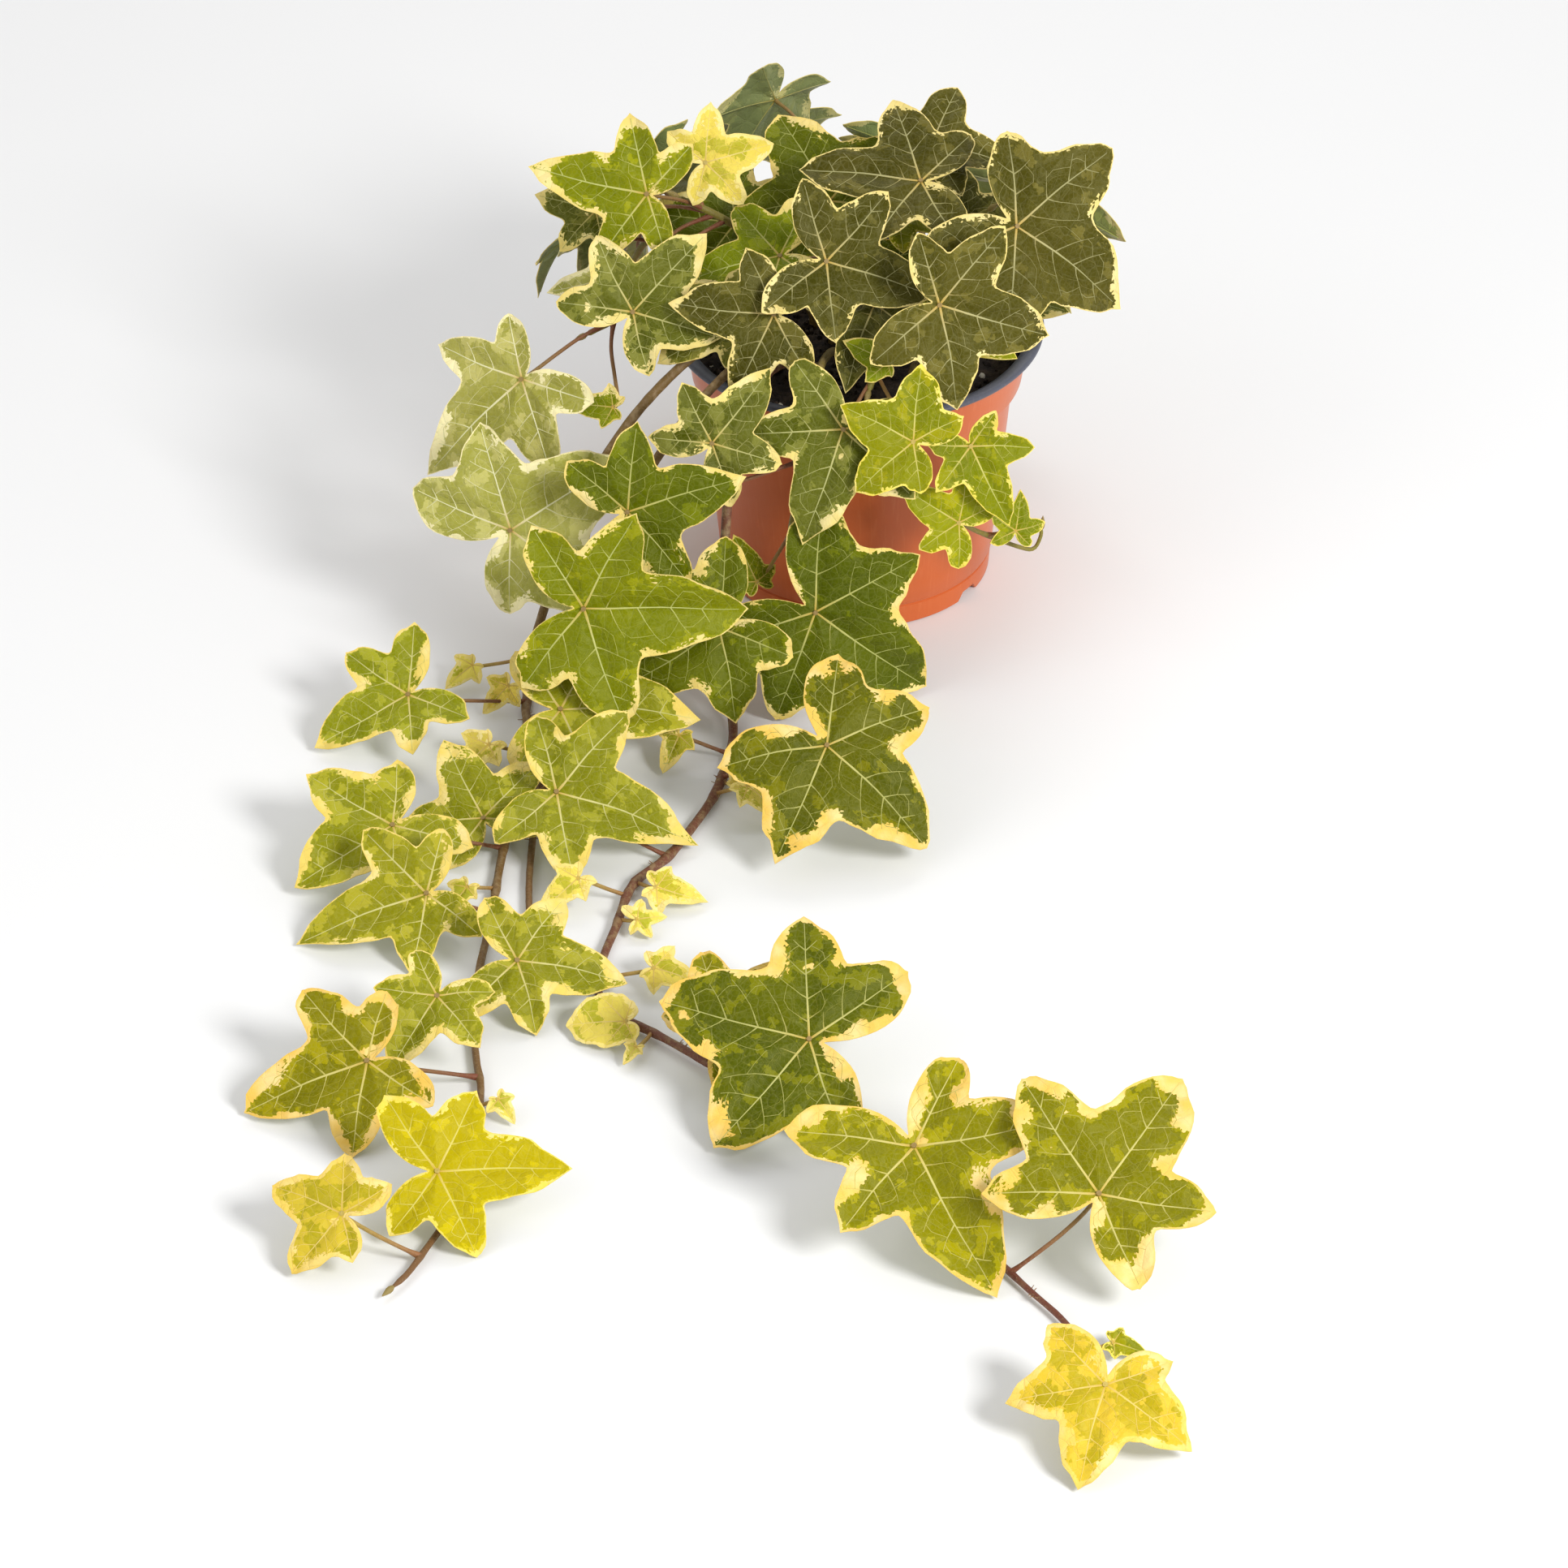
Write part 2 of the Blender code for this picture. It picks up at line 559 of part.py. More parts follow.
def hidden_leaves(courses):
    """Leaves behind the pot, set by rule along their stems."""
    rng = random.Random(HIDDEN_SEED)
    leaves = []
    for stem in HIDDEN_STEMS:
        course = courses[stem]
        for k in range(HIDDEN_EACH):
            at = int(len(course) * (0.34 + 0.66 * k / (HIDDEN_EACH - 1)))
            node = course[min(at, len(course) - 1)]
            out = Vector((node.x, node.y, 0)).normalized()
            across = Vector((-out.y, out.x, 0)) * (1 if k % 2 else -1)
            joint = node + out * rng.uniform(4, 14) + across * rng.uniform(10, 24)
            joint.z += rng.uniform(4, 16)
            n = (out + across * rng.uniform(-0.1, 0.5)
                 + Vector((0, 0, rng.uniform(0.35, 0.9)))).normalized()
            way = (out * 0.5 + across * rng.uniform(0.1, 0.9)
                   + Vector((0, 0, rng.uniform(-1.0, 0.1)))).normalized()
            size = rng.uniform(*HIDDEN_SIZES) * (1.0 if k < HIDDEN_EACH - 1 else 0.7)
            form = rng.choice(("star", "broad", "long"))
            leaves.append(LeafPlan(f"{stem}_{k}", stem, joint, way, n, size, form, False,
                                   200 + len(leaves)))
    return leaves


def leaf_trials(leaf):
    """The leaf as planned, then moved, turned and shrunk a little more each time."""
    hung = [(0, 0, 0, 0, 0), (0, 0, 2, 0, 0), (0, 0, 4, 0, 0), (0, 0, 4, 8, 0), (0, 0, 4, -8, 0),
            (3, 0, 6, 0, 8), (-3, 0, 6, 0, -8), (0, 3, 7, 10, 0), (0, 0, 10, 0, 0),
            (0, 3, 10, -10, 0), (4, 0, 10, 12, 8), (-4, 0, 10, 12, -8), (0, -3, 14, 0, 0),
            (0, 3, 14, 14, 0), (5, 0, 14, -12, 8), (-5, 0, 18, 0, -8), (0, 0, 18, 14, 12),
            (0, 0, -3, 0, 0), (0, 0, -6, 8, 0), (0, 5, 22, 0, 0), (6, 0, 22, 16, -12),
            (-6, 5, 26, 10, 0), (0, 0, 30, 0, 10)]
    laid = [(0, 0, 0, 0, 0), (0, 0, 2, 0, 0), (0, -3, 2, 0, 0), (3, 0, 2, 0, 8), (-3, 0, 2, 0, -8),
            (0, -5, 4, 6, 0), (0, 4, 5, 0, 0), (5, -3, 4, 0, 10), (-5, -3, 4, 0, -10),
            (0, -6, 7, 8, 0), (6, 3, 6, 0, 8), (-6, 3, 6, 0, -8), (0, 0, 9, 0, 0),
            (8, 0, 7, 6, 14), (-8, 0, 7, 6, -14), (0, -9, 9, 10, 0), (9, -6, 9, 0, 0),
            (-9, -6, 9, 0, 0), (0, 6, 12, 0, 0), (10, 6, 12, 6, 16), (-10, 6, 12, 6, -16),
            (0, -12, 14, 8, 0), (0, 0, 16, 0, 0)]
    for shrink in (1.0, 0.88, 0.76):
        for right, up, out, tilt, turn in (laid if leaf.laid else hung):
            level = Vector((-leaf.normal.y, leaf.normal.x, 0)).normalized()
            spin = Matrix.Rotation(math.radians(turn), 3, "Z")
            spin = spin @ Matrix.Rotation(math.radians(-tilt), 3, level)
            n = (spin @ leaf.normal).normalized()
            shift = leaf.normal * out + Vector((right, 0, up))
            if leaf.laid:
                shift = Vector((right, up, out))
            yield replace(leaf, joint=leaf.joint + shift, normal=n, length=leaf.length * shrink)


def raised(leaf, bend):
    """The leaf raised so that its lowest corner is just over the ground, plus a laid one's rise."""
    rise = 0.0
    if leaf.laid:
        rise = leaf.joint.z
        leaf = replace(leaf, joint=Vector((leaf.joint.x, leaf.joint.y, 0.0)))
    verts, _ = blade_mesh(leaf, bend, BLADE_T)
    short = GROUND_LIFT - min(v.z for v in verts)
    if short > 0 or leaf.laid:
        rise += short
    return replace(leaf, joint=leaf.joint + Vector((0, 0, rise)))


def settle(leaf, fixed, placed, courses):
    """First trial of a leaf that clears everything, or the one that crosses least."""
    best = None
    bend = bend_of(leaf)
    for trial in leaf_trials(leaf):
        shifted = raised(trial, bend)
        line = petiole_course(shifted, courses[leaf.stem])
        thick = PETIOLE_R + CLEAR
        blade = solid_of(*blade_mesh(shifted, bend, BLADE_T + 2 * CLEAR, CLEAR))
        free = solid_of(*tube_mesh(line[1:-1], [thick] * (len(line) - 2), 4))
        whole = solid_of(*tube_mesh(line, [thick] * len(line), 4))
        score = 0.0
        for label, node, solid in fixed + placed:
            own = node == leaf.stem
            stem = label == node
            if crosses(blade, solid):
                score += OWN_CROSSING if own else OTHER_CROSSING
            if not (own and stem) and crosses(free if own else whole, solid):
                score += OWN_CROSSING / 2 if own else OTHER_CROSSING
        if best is None or score < best[0]:
            best = (score, shifted, line)
        if score == 0.0:
            break
    return best


def plan_leaves():
    """Every leaf in its settled place, with its stalk's course.

    A leaf that would still cross another stem's leaves in every trial is left out.
    """
    fixed, courses = solids_fixed()
    placed, plan = [], []
    for leaf in picture_leaves() + hidden_leaves(courses):
        score, settled, line = settle(leaf, fixed, placed, courses)
        if score >= OTHER_CROSSING:
            continue
        bend = bend_of(settled)
        stalk = tube_mesh(line, [PETIOLE_R] * len(line), 4)
        placed.append((leaf.name, leaf.stem, solid_of(*blade_mesh(settled, bend, BLADE_T))))
        placed.append((leaf.name + "_stalk", leaf.stem, solid_of(*stalk)))
        plan.append((settled, bend, line))
    return plan


def make_material(name, colour, roughness, metallic=0.0):
    """A plain named finish."""
    mat = bpy.data.materials.new(name)
    mat.use_nodes = True
    shader = mat.node_tree.nodes["Principled BSDF"]
    shader.inputs["Base Color"].default_value = (*colour, 1.0)
    shader.inputs["Roughness"].default_value = roughness
    shader.inputs["Metallic"].default_value = metallic
    return mat


def make_object(name, verts, faces, material=None):
    """An object from corners in millimetres, with its faces turned outwards."""
    mesh = bpy.data.meshes.new(name)
    mesh.from_pydata([v * MM for v in verts], [], faces)
    if material is not None:
        mesh.materials.append(material)
    work = bmesh.new()
    work.from_mesh(mesh)
    bmesh.ops.recalc_face_normals(work, faces=work.faces)
    work.to_mesh(mesh)
    work.free()
    ob = bpy.data.objects.new(name, mesh)
    bpy.context.scene.collection.objects.link(ob)
    return ob


def joined(parts):
    """Corners and faces of several separate solids as one list."""
    verts, faces = [], []
    for part_verts, part_faces in parts:
        base = len(verts)
        verts += part_verts
        faces += [tuple(base + i for i in face) for face in part_faces]
    return verts, faces


def cutter_object(name, parts):
    """A hidden tool body that is taken away from another object."""
    ob = make_object(name, *joined(parts))
    ob.hide_render = True
    ob.display_type = "WIRE"
    return ob


def cut_away(ob, cutter):
    """Take a cutter's bodies away from an object, and leave the modifier on it."""
    mod = ob.modifiers.new("cut", "BOOLEAN")
    mod.operation = "DIFFERENCE"
    mod.solver = "EXACT"
    mod.object = cutter


def notch_mesh(turn):
    """A bar with sloping sides that cuts one notch into the foot."""
    verts = []
    for r in (FOOT_INNER_R - 4.0, FOOT_R + 4.0):
        for half, z in ((NOTCH_LOW_W / 2 + 0.8, -1.0), (NOTCH_TOP_W / 2, NOTCH_H)):
            for s in (-1, 1):
                verts.append(Vector((r, s * half, z)))
    spin = Matrix.Rotation(turn, 3, "Z")
    faces = [(0, 1, 3, 2), (4, 6, 7, 5), (0, 4, 5, 1), (2, 3, 7, 6), (0, 2, 6, 4), (1, 5, 7, 3)]
    return [spin @ v for v in verts], faces


def round_bar(x, y, radius, low, high, sides):
    """An upright round bar."""
    return tube_mesh([Vector((x, y, low)), Vector((x, y, high))], [radius, radius], sides)


def smooth(ob, degrees):
    """Smooth shading with sharp edges where faces turn by more than so many degrees."""
    ob.data.shade_smooth()
    ob.data.set_sharp_from_angle(angle=math.radians(degrees))


def build_pot(plastic):
    """The pot with its rim band, lip, notched foot and drain holes."""
    pot = make_object("pot", *turned_mesh(pot_outline(), POT_SIDES), plastic)
    parts = [notch_mesh(math.radians(NOTCH_TURN) + math.tau * k / NOTCHES)
             for k in range(NOTCHES)]
    for k in range(DRAINS):
        turn = math.tau * (k + 0.5) / DRAINS
        parts.append(round_bar(DRAIN_RING_R * math.cos(turn), DRAIN_RING_R * math.sin(turn),
                               DRAIN_R, FLOOR_LOW - 1.5, FLOOR_TOP + 1.5, 10))
    cut_away(pot, cutter_object("pot_cutter", parts))
    smooth(pot, 28)
    return pot


def build_soil(earth):
    """The soil, slightly heaped and rough on top, with a hole for each stem."""
    rng = random.Random(5)
    bump = [[rng.uniform(-SOIL_ROUGH, SOIL_ROUGH) for _ in range(SOIL_SIDES)] for _ in range(16)]
    soil = make_object("soil", *turned_mesh(
        soil_outline(), SOIL_SIDES, lambda i, k: bump[i][k] if i in (6, 7, 8) else 0.0), earth)
    grow = 1.0 / math.cos(math.pi / HOLE_SIDES)
    holes = [round_bar(plan.foot[0], plan.foot[1], (plan.thick + HOLE_GAP) * grow, HOLE_FLOOR,
                       SOIL_EDGE_Z + 12.0, HOLE_SIDES) for plan in STEMS]
    cut_away(soil, cutter_object("soil_cutter", holes))
    return soil


def build_leafy_stem(plan, leaves, material):
    """One stem fused with its stalks and blades."""
    course = stem_course(plan)
    radii = radii_along(len(course), plan.thick, plan.thin)
    stem = make_object(plan.name, *tube_mesh(course, radii, STEM_SIDES), material)
    group = bpy.data.collections.new(plan.name + "_parts")
    bpy.context.scene.collection.children.link(group)
    for leaf, bend, line in leaves:
        taper = [PETIOLE_R * 1.1] * (len(line) - 2) + [PETIOLE_R] * 2
        for label, (verts, faces) in (("stalk", tube_mesh(line, taper, STALK_SIDES)),
                                      ("blade", blade_mesh(leaf, bend, BLADE_T))):
            ob = make_object(f"{leaf.name}_{label}", verts, faces, material)
            bpy.context.scene.collection.objects.unlink(ob)
            group.objects.link(ob)
    mod = stem.modifiers.new("fuse", "BOOLEAN")
    mod.operation = "UNION"
    mod.operand_type = "COLLECTION"
    mod.collection = group
    mod.solver = "MANIFOLD"
    bpy.context.view_layer.update()
    fused = bpy.data.meshes.new_from_object(
        stem.evaluated_get(bpy.context.evaluated_depsgraph_get()))
    stem.modifiers.clear()
    stem.data = fused
    for ob in list(group.objects):
        bpy.data.objects.remove(ob)
    bpy.data.collections.remove(group)
    smooth(stem, 35)
    return stem


def centre_over_ground(objects):
    """Move everything so that the middle of the whole's box stands over the origin."""
    bpy.context.view_layer.update()
    low, high = Vector((1e9,) * 3), Vector((-1e9,) * 3)
    for ob in objects:
        seen = ob.evaluated_get(bpy.context.evaluated_depsgraph_get())
        for corner in seen.data.vertices:
            for k in range(3):
                low[k] = min(low[k], corner.co[k])
                high[k] = max(high[k], corner.co[k])
    shift = Vector((-(low.x + high.x) / 2, -(low.y + high.y) / 2, -low.z))
    for ob in bpy.data.objects:
        ob.data.transform(Matrix.Translation(shift))


def main():
    """Build the pot, its soil and every leafy stem."""
    for ob in list(bpy.data.objects):
        bpy.data.objects.remove(ob)
    plastic = make_material("pot_plastic", (0.69, 0.14, 0.05), 0.38)
    earth = make_material("earth", (0.045, 0.03, 0.02), 0.95)
    ivy = make_material("ivy", (0.13, 0.25, 0.03), 0.45)
    plan = plan_leaves()
    made = [build_pot(plastic), build_soil(earth)]
    for stem in STEMS:
        mine = [item for item in plan if item[0].stem == stem.name]
        made.append(build_leafy_stem(stem, mine, ivy))
    centre_over_ground(made)


main()
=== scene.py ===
"""Potted variegated ivy, dressed: fine leaves with veins, stalks, bark, soil and a two-colour pot.

The plan of stems and leaves is the part's own, worked out in millimetres with the pot's axis at
X = Y = 0 and its foot at Z = 0. It is then moved to where the frame's pot stands.
"""
import logging
import math
import random
from collections.abc import Iterator, Sequence
from dataclasses import dataclass, field, replace
from enum import Enum

import bmesh
import bpy
import numpy as np
from mathutils import Matrix, Vector, noise
from mathutils.bvhtree import BVHTree


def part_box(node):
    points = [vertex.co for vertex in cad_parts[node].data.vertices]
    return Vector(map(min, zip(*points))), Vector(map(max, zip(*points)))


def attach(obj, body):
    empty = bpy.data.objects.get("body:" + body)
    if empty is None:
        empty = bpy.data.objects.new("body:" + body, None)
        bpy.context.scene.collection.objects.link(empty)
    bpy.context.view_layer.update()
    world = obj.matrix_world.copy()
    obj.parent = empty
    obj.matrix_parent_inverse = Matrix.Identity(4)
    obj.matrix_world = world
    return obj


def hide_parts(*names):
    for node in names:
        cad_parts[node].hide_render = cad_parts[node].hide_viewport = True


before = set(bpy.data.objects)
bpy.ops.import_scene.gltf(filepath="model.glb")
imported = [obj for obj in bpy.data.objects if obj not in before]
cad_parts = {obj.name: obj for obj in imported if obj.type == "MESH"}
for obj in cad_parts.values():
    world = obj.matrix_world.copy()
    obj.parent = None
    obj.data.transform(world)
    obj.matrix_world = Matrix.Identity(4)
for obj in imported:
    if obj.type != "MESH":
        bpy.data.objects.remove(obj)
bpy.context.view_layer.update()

log = logging.getLogger("potted_ivy")

MM = 0.001
UP = Vector((0, 0, 1))

# Reading the picture: mm in one picture unit, the pot's axis and foot in those units, the rise of
# the view, and where the stems that lie on the ground start, in mm and in picture units.
UNIT = 0.306
AXIS_X = 1018.0
FOOT_Y = 639.0
VIEW_RISE = math.tan(math.radians(4.0))
GROUND_START = 78.0
GROUND_Y = 655.0

# Rules of the plan, shared with the part: thickness and radii, steps and clearances in mm, points
# where stalks can start, what a crossing counts, and the heights where stems start and come out.
BLADE_T = 0.8
PETIOLE_R = 0.72
STEM_STEP = 13.0
NODES_EACH = 4
FIRST_NODE = 9
GROUND_LIFT = 1.0
CLEAR = 0.6
OWN_CROSSING = 2.0
OTHER_CROSSING = 100.0
STEM_FOOT = 60.5
STEM_OUT = 81.0

Mesh = tuple[list[Vector], list[tuple[int, ...]]]
Solid = tuple[BVHTree, Vector, Vector]


class Form(Enum):
    """Leaf forms: side lobe length and angle, lower lobe length and angle, half the tip's angle,
    and half a lobe's width as a part of its length."""

    STAR = (0.80, 66.0, 0.66, 124.0, 38.0, 0.28)
    LONG = (0.68, 64.0, 0.54, 121.0, 30.0, 0.26)
    BROAD = (0.90, 69.0, 0.74, 126.0, 44.0, 0.33)
    ARROW = (0.56, 70.0, 0.36, 130.0, 33.0, 0.30)
    OVAL = (0.62, 50.0, 0.42, 110.0, 58.0, 0.46)


# Edge of a leaf: half the tip angles of its side and lower lobes, depth and spread of the hollow
# at its stalk, how softly lobes and their sides join, and below which length in mm it is small.
SIDE_TIP = 44.0
LOW_TIP = 50.0
NOTCH_DEPTH = 0.72
NOTCH_SPREAD = 17.0
SOFTEN = 9.0
SIDE_SOFTEN = 5.0
SMALL_LEAF = 19.0


def srgb(red: float, green: float, blue: float) -> tuple[float, float, float]:
    """Turn a colour as read, 0 to 255, into linear light."""
    return tuple((c / 255 / 12.92) if c <= 10 else ((c / 255 + 0.055) / 1.055) ** 2.4
                 for c in (red, green, blue))


@dataclass(frozen=True)
class LeafTone:
    """Colours of a leaf: two greens, margin and veins. Margin widths in mm, and its spots."""

    deep: tuple
    pale: tuple
    margin: tuple
    vein: tuple
    hairline_mm: float
    margin_mm: float
    spots: float


class Tone(Enum):
    """Leaf tones, from the old leaves of the crown to the young ones at the tips."""

    OLIVE = LeafTone(srgb(64, 62, 4), srgb(106, 100, 40), srgb(238, 216, 134),
                     srgb(188, 184, 132), 0.42, 1.5, 0.30)
    MOSS = LeafTone(srgb(82, 86, 6), srgb(134, 132, 54), srgb(238, 216, 128),
                    srgb(202, 202, 136), 0.42, 3.2, 0.40)
    # The grey tone has a painted sheen. Over the leaf's own grey-green, its greens are paled by
    # the grey veil of a reflection painted into the colour.
    GREY_SHEEN = LeafTone(srgb(156, 156, 62), srgb(198, 194, 112), srgb(248, 238, 182),
                    srgb(238, 236, 194), 0.50, 3.8, 0.42)
    FRESH = LeafTone(srgb(106, 116, 0), srgb(148, 152, 14), srgb(240, 216, 122),
                     srgb(204, 208, 130), 0.42, 3.2, 0.22)
    DEEP = LeafTone(srgb(80, 90, 0), srgb(114, 122, 6), srgb(240, 212, 116),
                    srgb(194, 196, 118), 0.42, 3.2, 0.18)
    PALE = LeafTone(srgb(126, 128, 0), srgb(172, 168, 44), srgb(240, 212, 104),
                    srgb(222, 218, 150), 0.52, 4.2, 0.45)
    GOLDEN = LeafTone(srgb(120, 116, 0), srgb(168, 156, 8), srgb(241, 198, 92),
                      srgb(218, 210, 132), 1.0, 5.6, 0.40)
    GILDED = LeafTone(srgb(80, 87, 0), srgb(130, 128, 8), srgb(241, 198, 92),
                      srgb(204, 202, 126), 0.9, 5.6, 0.40)
    SPRING = LeafTone(srgb(124, 132, 0), srgb(164, 162, 10), srgb(242, 222, 92),
                      srgb(216, 216, 128), 0.45, 1.3, 0.24)
    LIME = LeafTone(srgb(170, 158, 0), srgb(196, 182, 8), srgb(243, 218, 84),
                    srgb(228, 220, 120), 0.5, 1.4, 0.20)
    STRAW = LeafTone(srgb(166, 152, 14), srgb(210, 182, 52), srgb(240, 206, 96),
                     srgb(232, 212, 128), 1.6, 2.4, 0.70)
    CREAM = LeafTone(srgb(172, 170, 24), srgb(238, 216, 96), srgb(250, 228, 132),
                     srgb(242, 226, 150), 1.3, 2.4, 0.80)


def read_place(px: float, py: float, depth: float) -> Vector:
    """Point in space, in mm, for a place in the picture at a chosen depth."""
    z = (FOOT_Y - py) * UNIT - depth * VIEW_RISE
    return Vector(((px - AXIS_X) * UNIT, depth, z))


def laid_place(px: float, py: float, height: float) -> Vector:
    """Point on the ground, in mm, for a place in the picture that hangs below the pot."""
    y = -(GROUND_START + (py - GROUND_Y) * UNIT)
    return Vector(((px - AXIS_X) * UNIT, y, height))


@dataclass(frozen=True)
class StemPlan:
    """Course of one stem: its foot in the soil, free points in mm, then ground points as read."""

    name: str
    foot: tuple
    free: tuple
    laid: tuple
    thick: float
    thin: float
    green: float = 0.6


STEMS = (
    StemPlan("trailing_stem_left", (-20, -13),
             ((-27, -18, 93), (-39, -28, 101), (-52, -38, 99), (-70, -50, 85), (-85, -59, 64),
              (-94, -65, 41), (-101, -70, 20), (-105, -76, 7)),
             ((675, 680), (674, 706), (676, 730), (675, 788), (668, 880), (659, 970), (652, 1078),
              (645, 1150), (641, 1220), (648, 1300), (654, 1345), (652, 1412), (650, 1472),
              (634, 1530), (611, 1588), (598, 1618), (586, 1636)), 1.6, 0.85),
    StemPlan("trailing_stem_mid", (-17, -22),
             ((-22, -30, 92), (-32, -41, 100), (-42, -50, 99), (-58, -62, 85), (-73, -71, 62),
              (-84, -77, 38), (-91, -81, 17), (-94, -86, 6)),
             ((708, 690), (700, 722), (697, 760), (694, 830), (690, 910), (688, 996), (690, 1062),
              (694, 1112), (692, 1150)), 1.5, 0.95),
    StemPlan("trailing_stem_front", (-9, -27),
             ((-13, -34, 92), (-22, -45, 101), (-31, -55, 99), (-39, -69, 82), (-42, -79, 56),
              (-42, -85, 30), (-41, -91, 10)),
             ((889, 745), (885, 790), (879, 825), (869, 865), (851, 911), (825, 967),
              (791, 1015), (776, 1085), (764, 1140), (761, 1190), (781, 1228), (823, 1262),
              (885, 1318), (948, 1372), (1008, 1425), (1065, 1492), (1131, 1591), (1164, 1641),
              (1191, 1680), (1209, 1718), (1220, 1760), (1214, 1790)), 1.6, 0.8, 0.1),
    StemPlan("rim_shoot", (18, -20),
             ((18, -30, 91), (17, -43, 97), (15.5, -56, 97.5), (15.5, -65.5, 88),
              (16.5, -66, 77), (24, -62.5, 62), (34, -57, 48), (43, -51, 39.5),
              (52, -46, 32.5), (56.5, -43, 30), (58.6, -42, 33.5), (59.0, -42, 37)), (), 1.2, 0.6),
    StemPlan("crown_left_top", (-8, 6),
             ((-11, 6, 92), (-24, 4, 110), (-42, 2, 125), (-57, 1, 134)), (), 1.4, 0.9),
    StemPlan("crown_left_side", (-20, 0),
             ((-25, -3, 90), (-43, -10, 102), (-65, -17, 106), (-86, -25, 99)), (), 1.4, 0.9),
    StemPlan("crown_front", (-2, -14),
             ((-5, -24, 91), (-9, -38, 100), (-13, -55, 102), (-17, -70, 88),
              (-20, -74, 66), (-22, -74, 50)), (), 1.4, 0.9),
    StemPlan("crown_top", (2, 0),
             ((2, -3, 93), (0, -10, 109), (-4, -18, 123), (-7, -24, 132)), (), 1.4, 0.9),
    StemPlan("crown_right", (12, 4),
             ((14, 3, 92), (22, 0, 109), (33, -5, 126), (41, -9, 135)), (), 1.4, 0.9),
    StemPlan("crown_right_front", (8, -16),
             ((8, -25, 92), (8, -38, 101), (6, -51, 105), (3, -61, 100)), (), 1.4, 0.9),
    StemPlan("crown_back_left", (-14, 17),
             ((-20, 23, 91), (-36, 34, 98), (-53, 45, 99), (-68, 54, 88), (-76, 58, 72)),
             (), 1.4, 0.9),
    StemPlan("crown_back", (0, 19),
             ((-1, 26, 92), (-3, 38, 101), (-6, 54, 103), (-9, 69, 93), (-11, 76, 75),
              (-12, 79, 56)), (), 1.4, 0.9),
    StemPlan("crown_back_right", (17, 15),
             ((17, 25, 89), (18, 40, 96), (20, 56, 97), (22, 69, 84), (23, 73, 64),
              (24, 75, 44)), (), 1.4, 0.9),
)


@dataclass(frozen=True)
class LeafPlan:
    """One leaf: its stem, its joint in space, where it points, its size, form and tone."""

    name: str
    stem: str
    joint: Vector
    tip_way: Vector
    normal: Vector
    length: float
    form: Form
    laid: bool
    seed: int
    tone: Tone


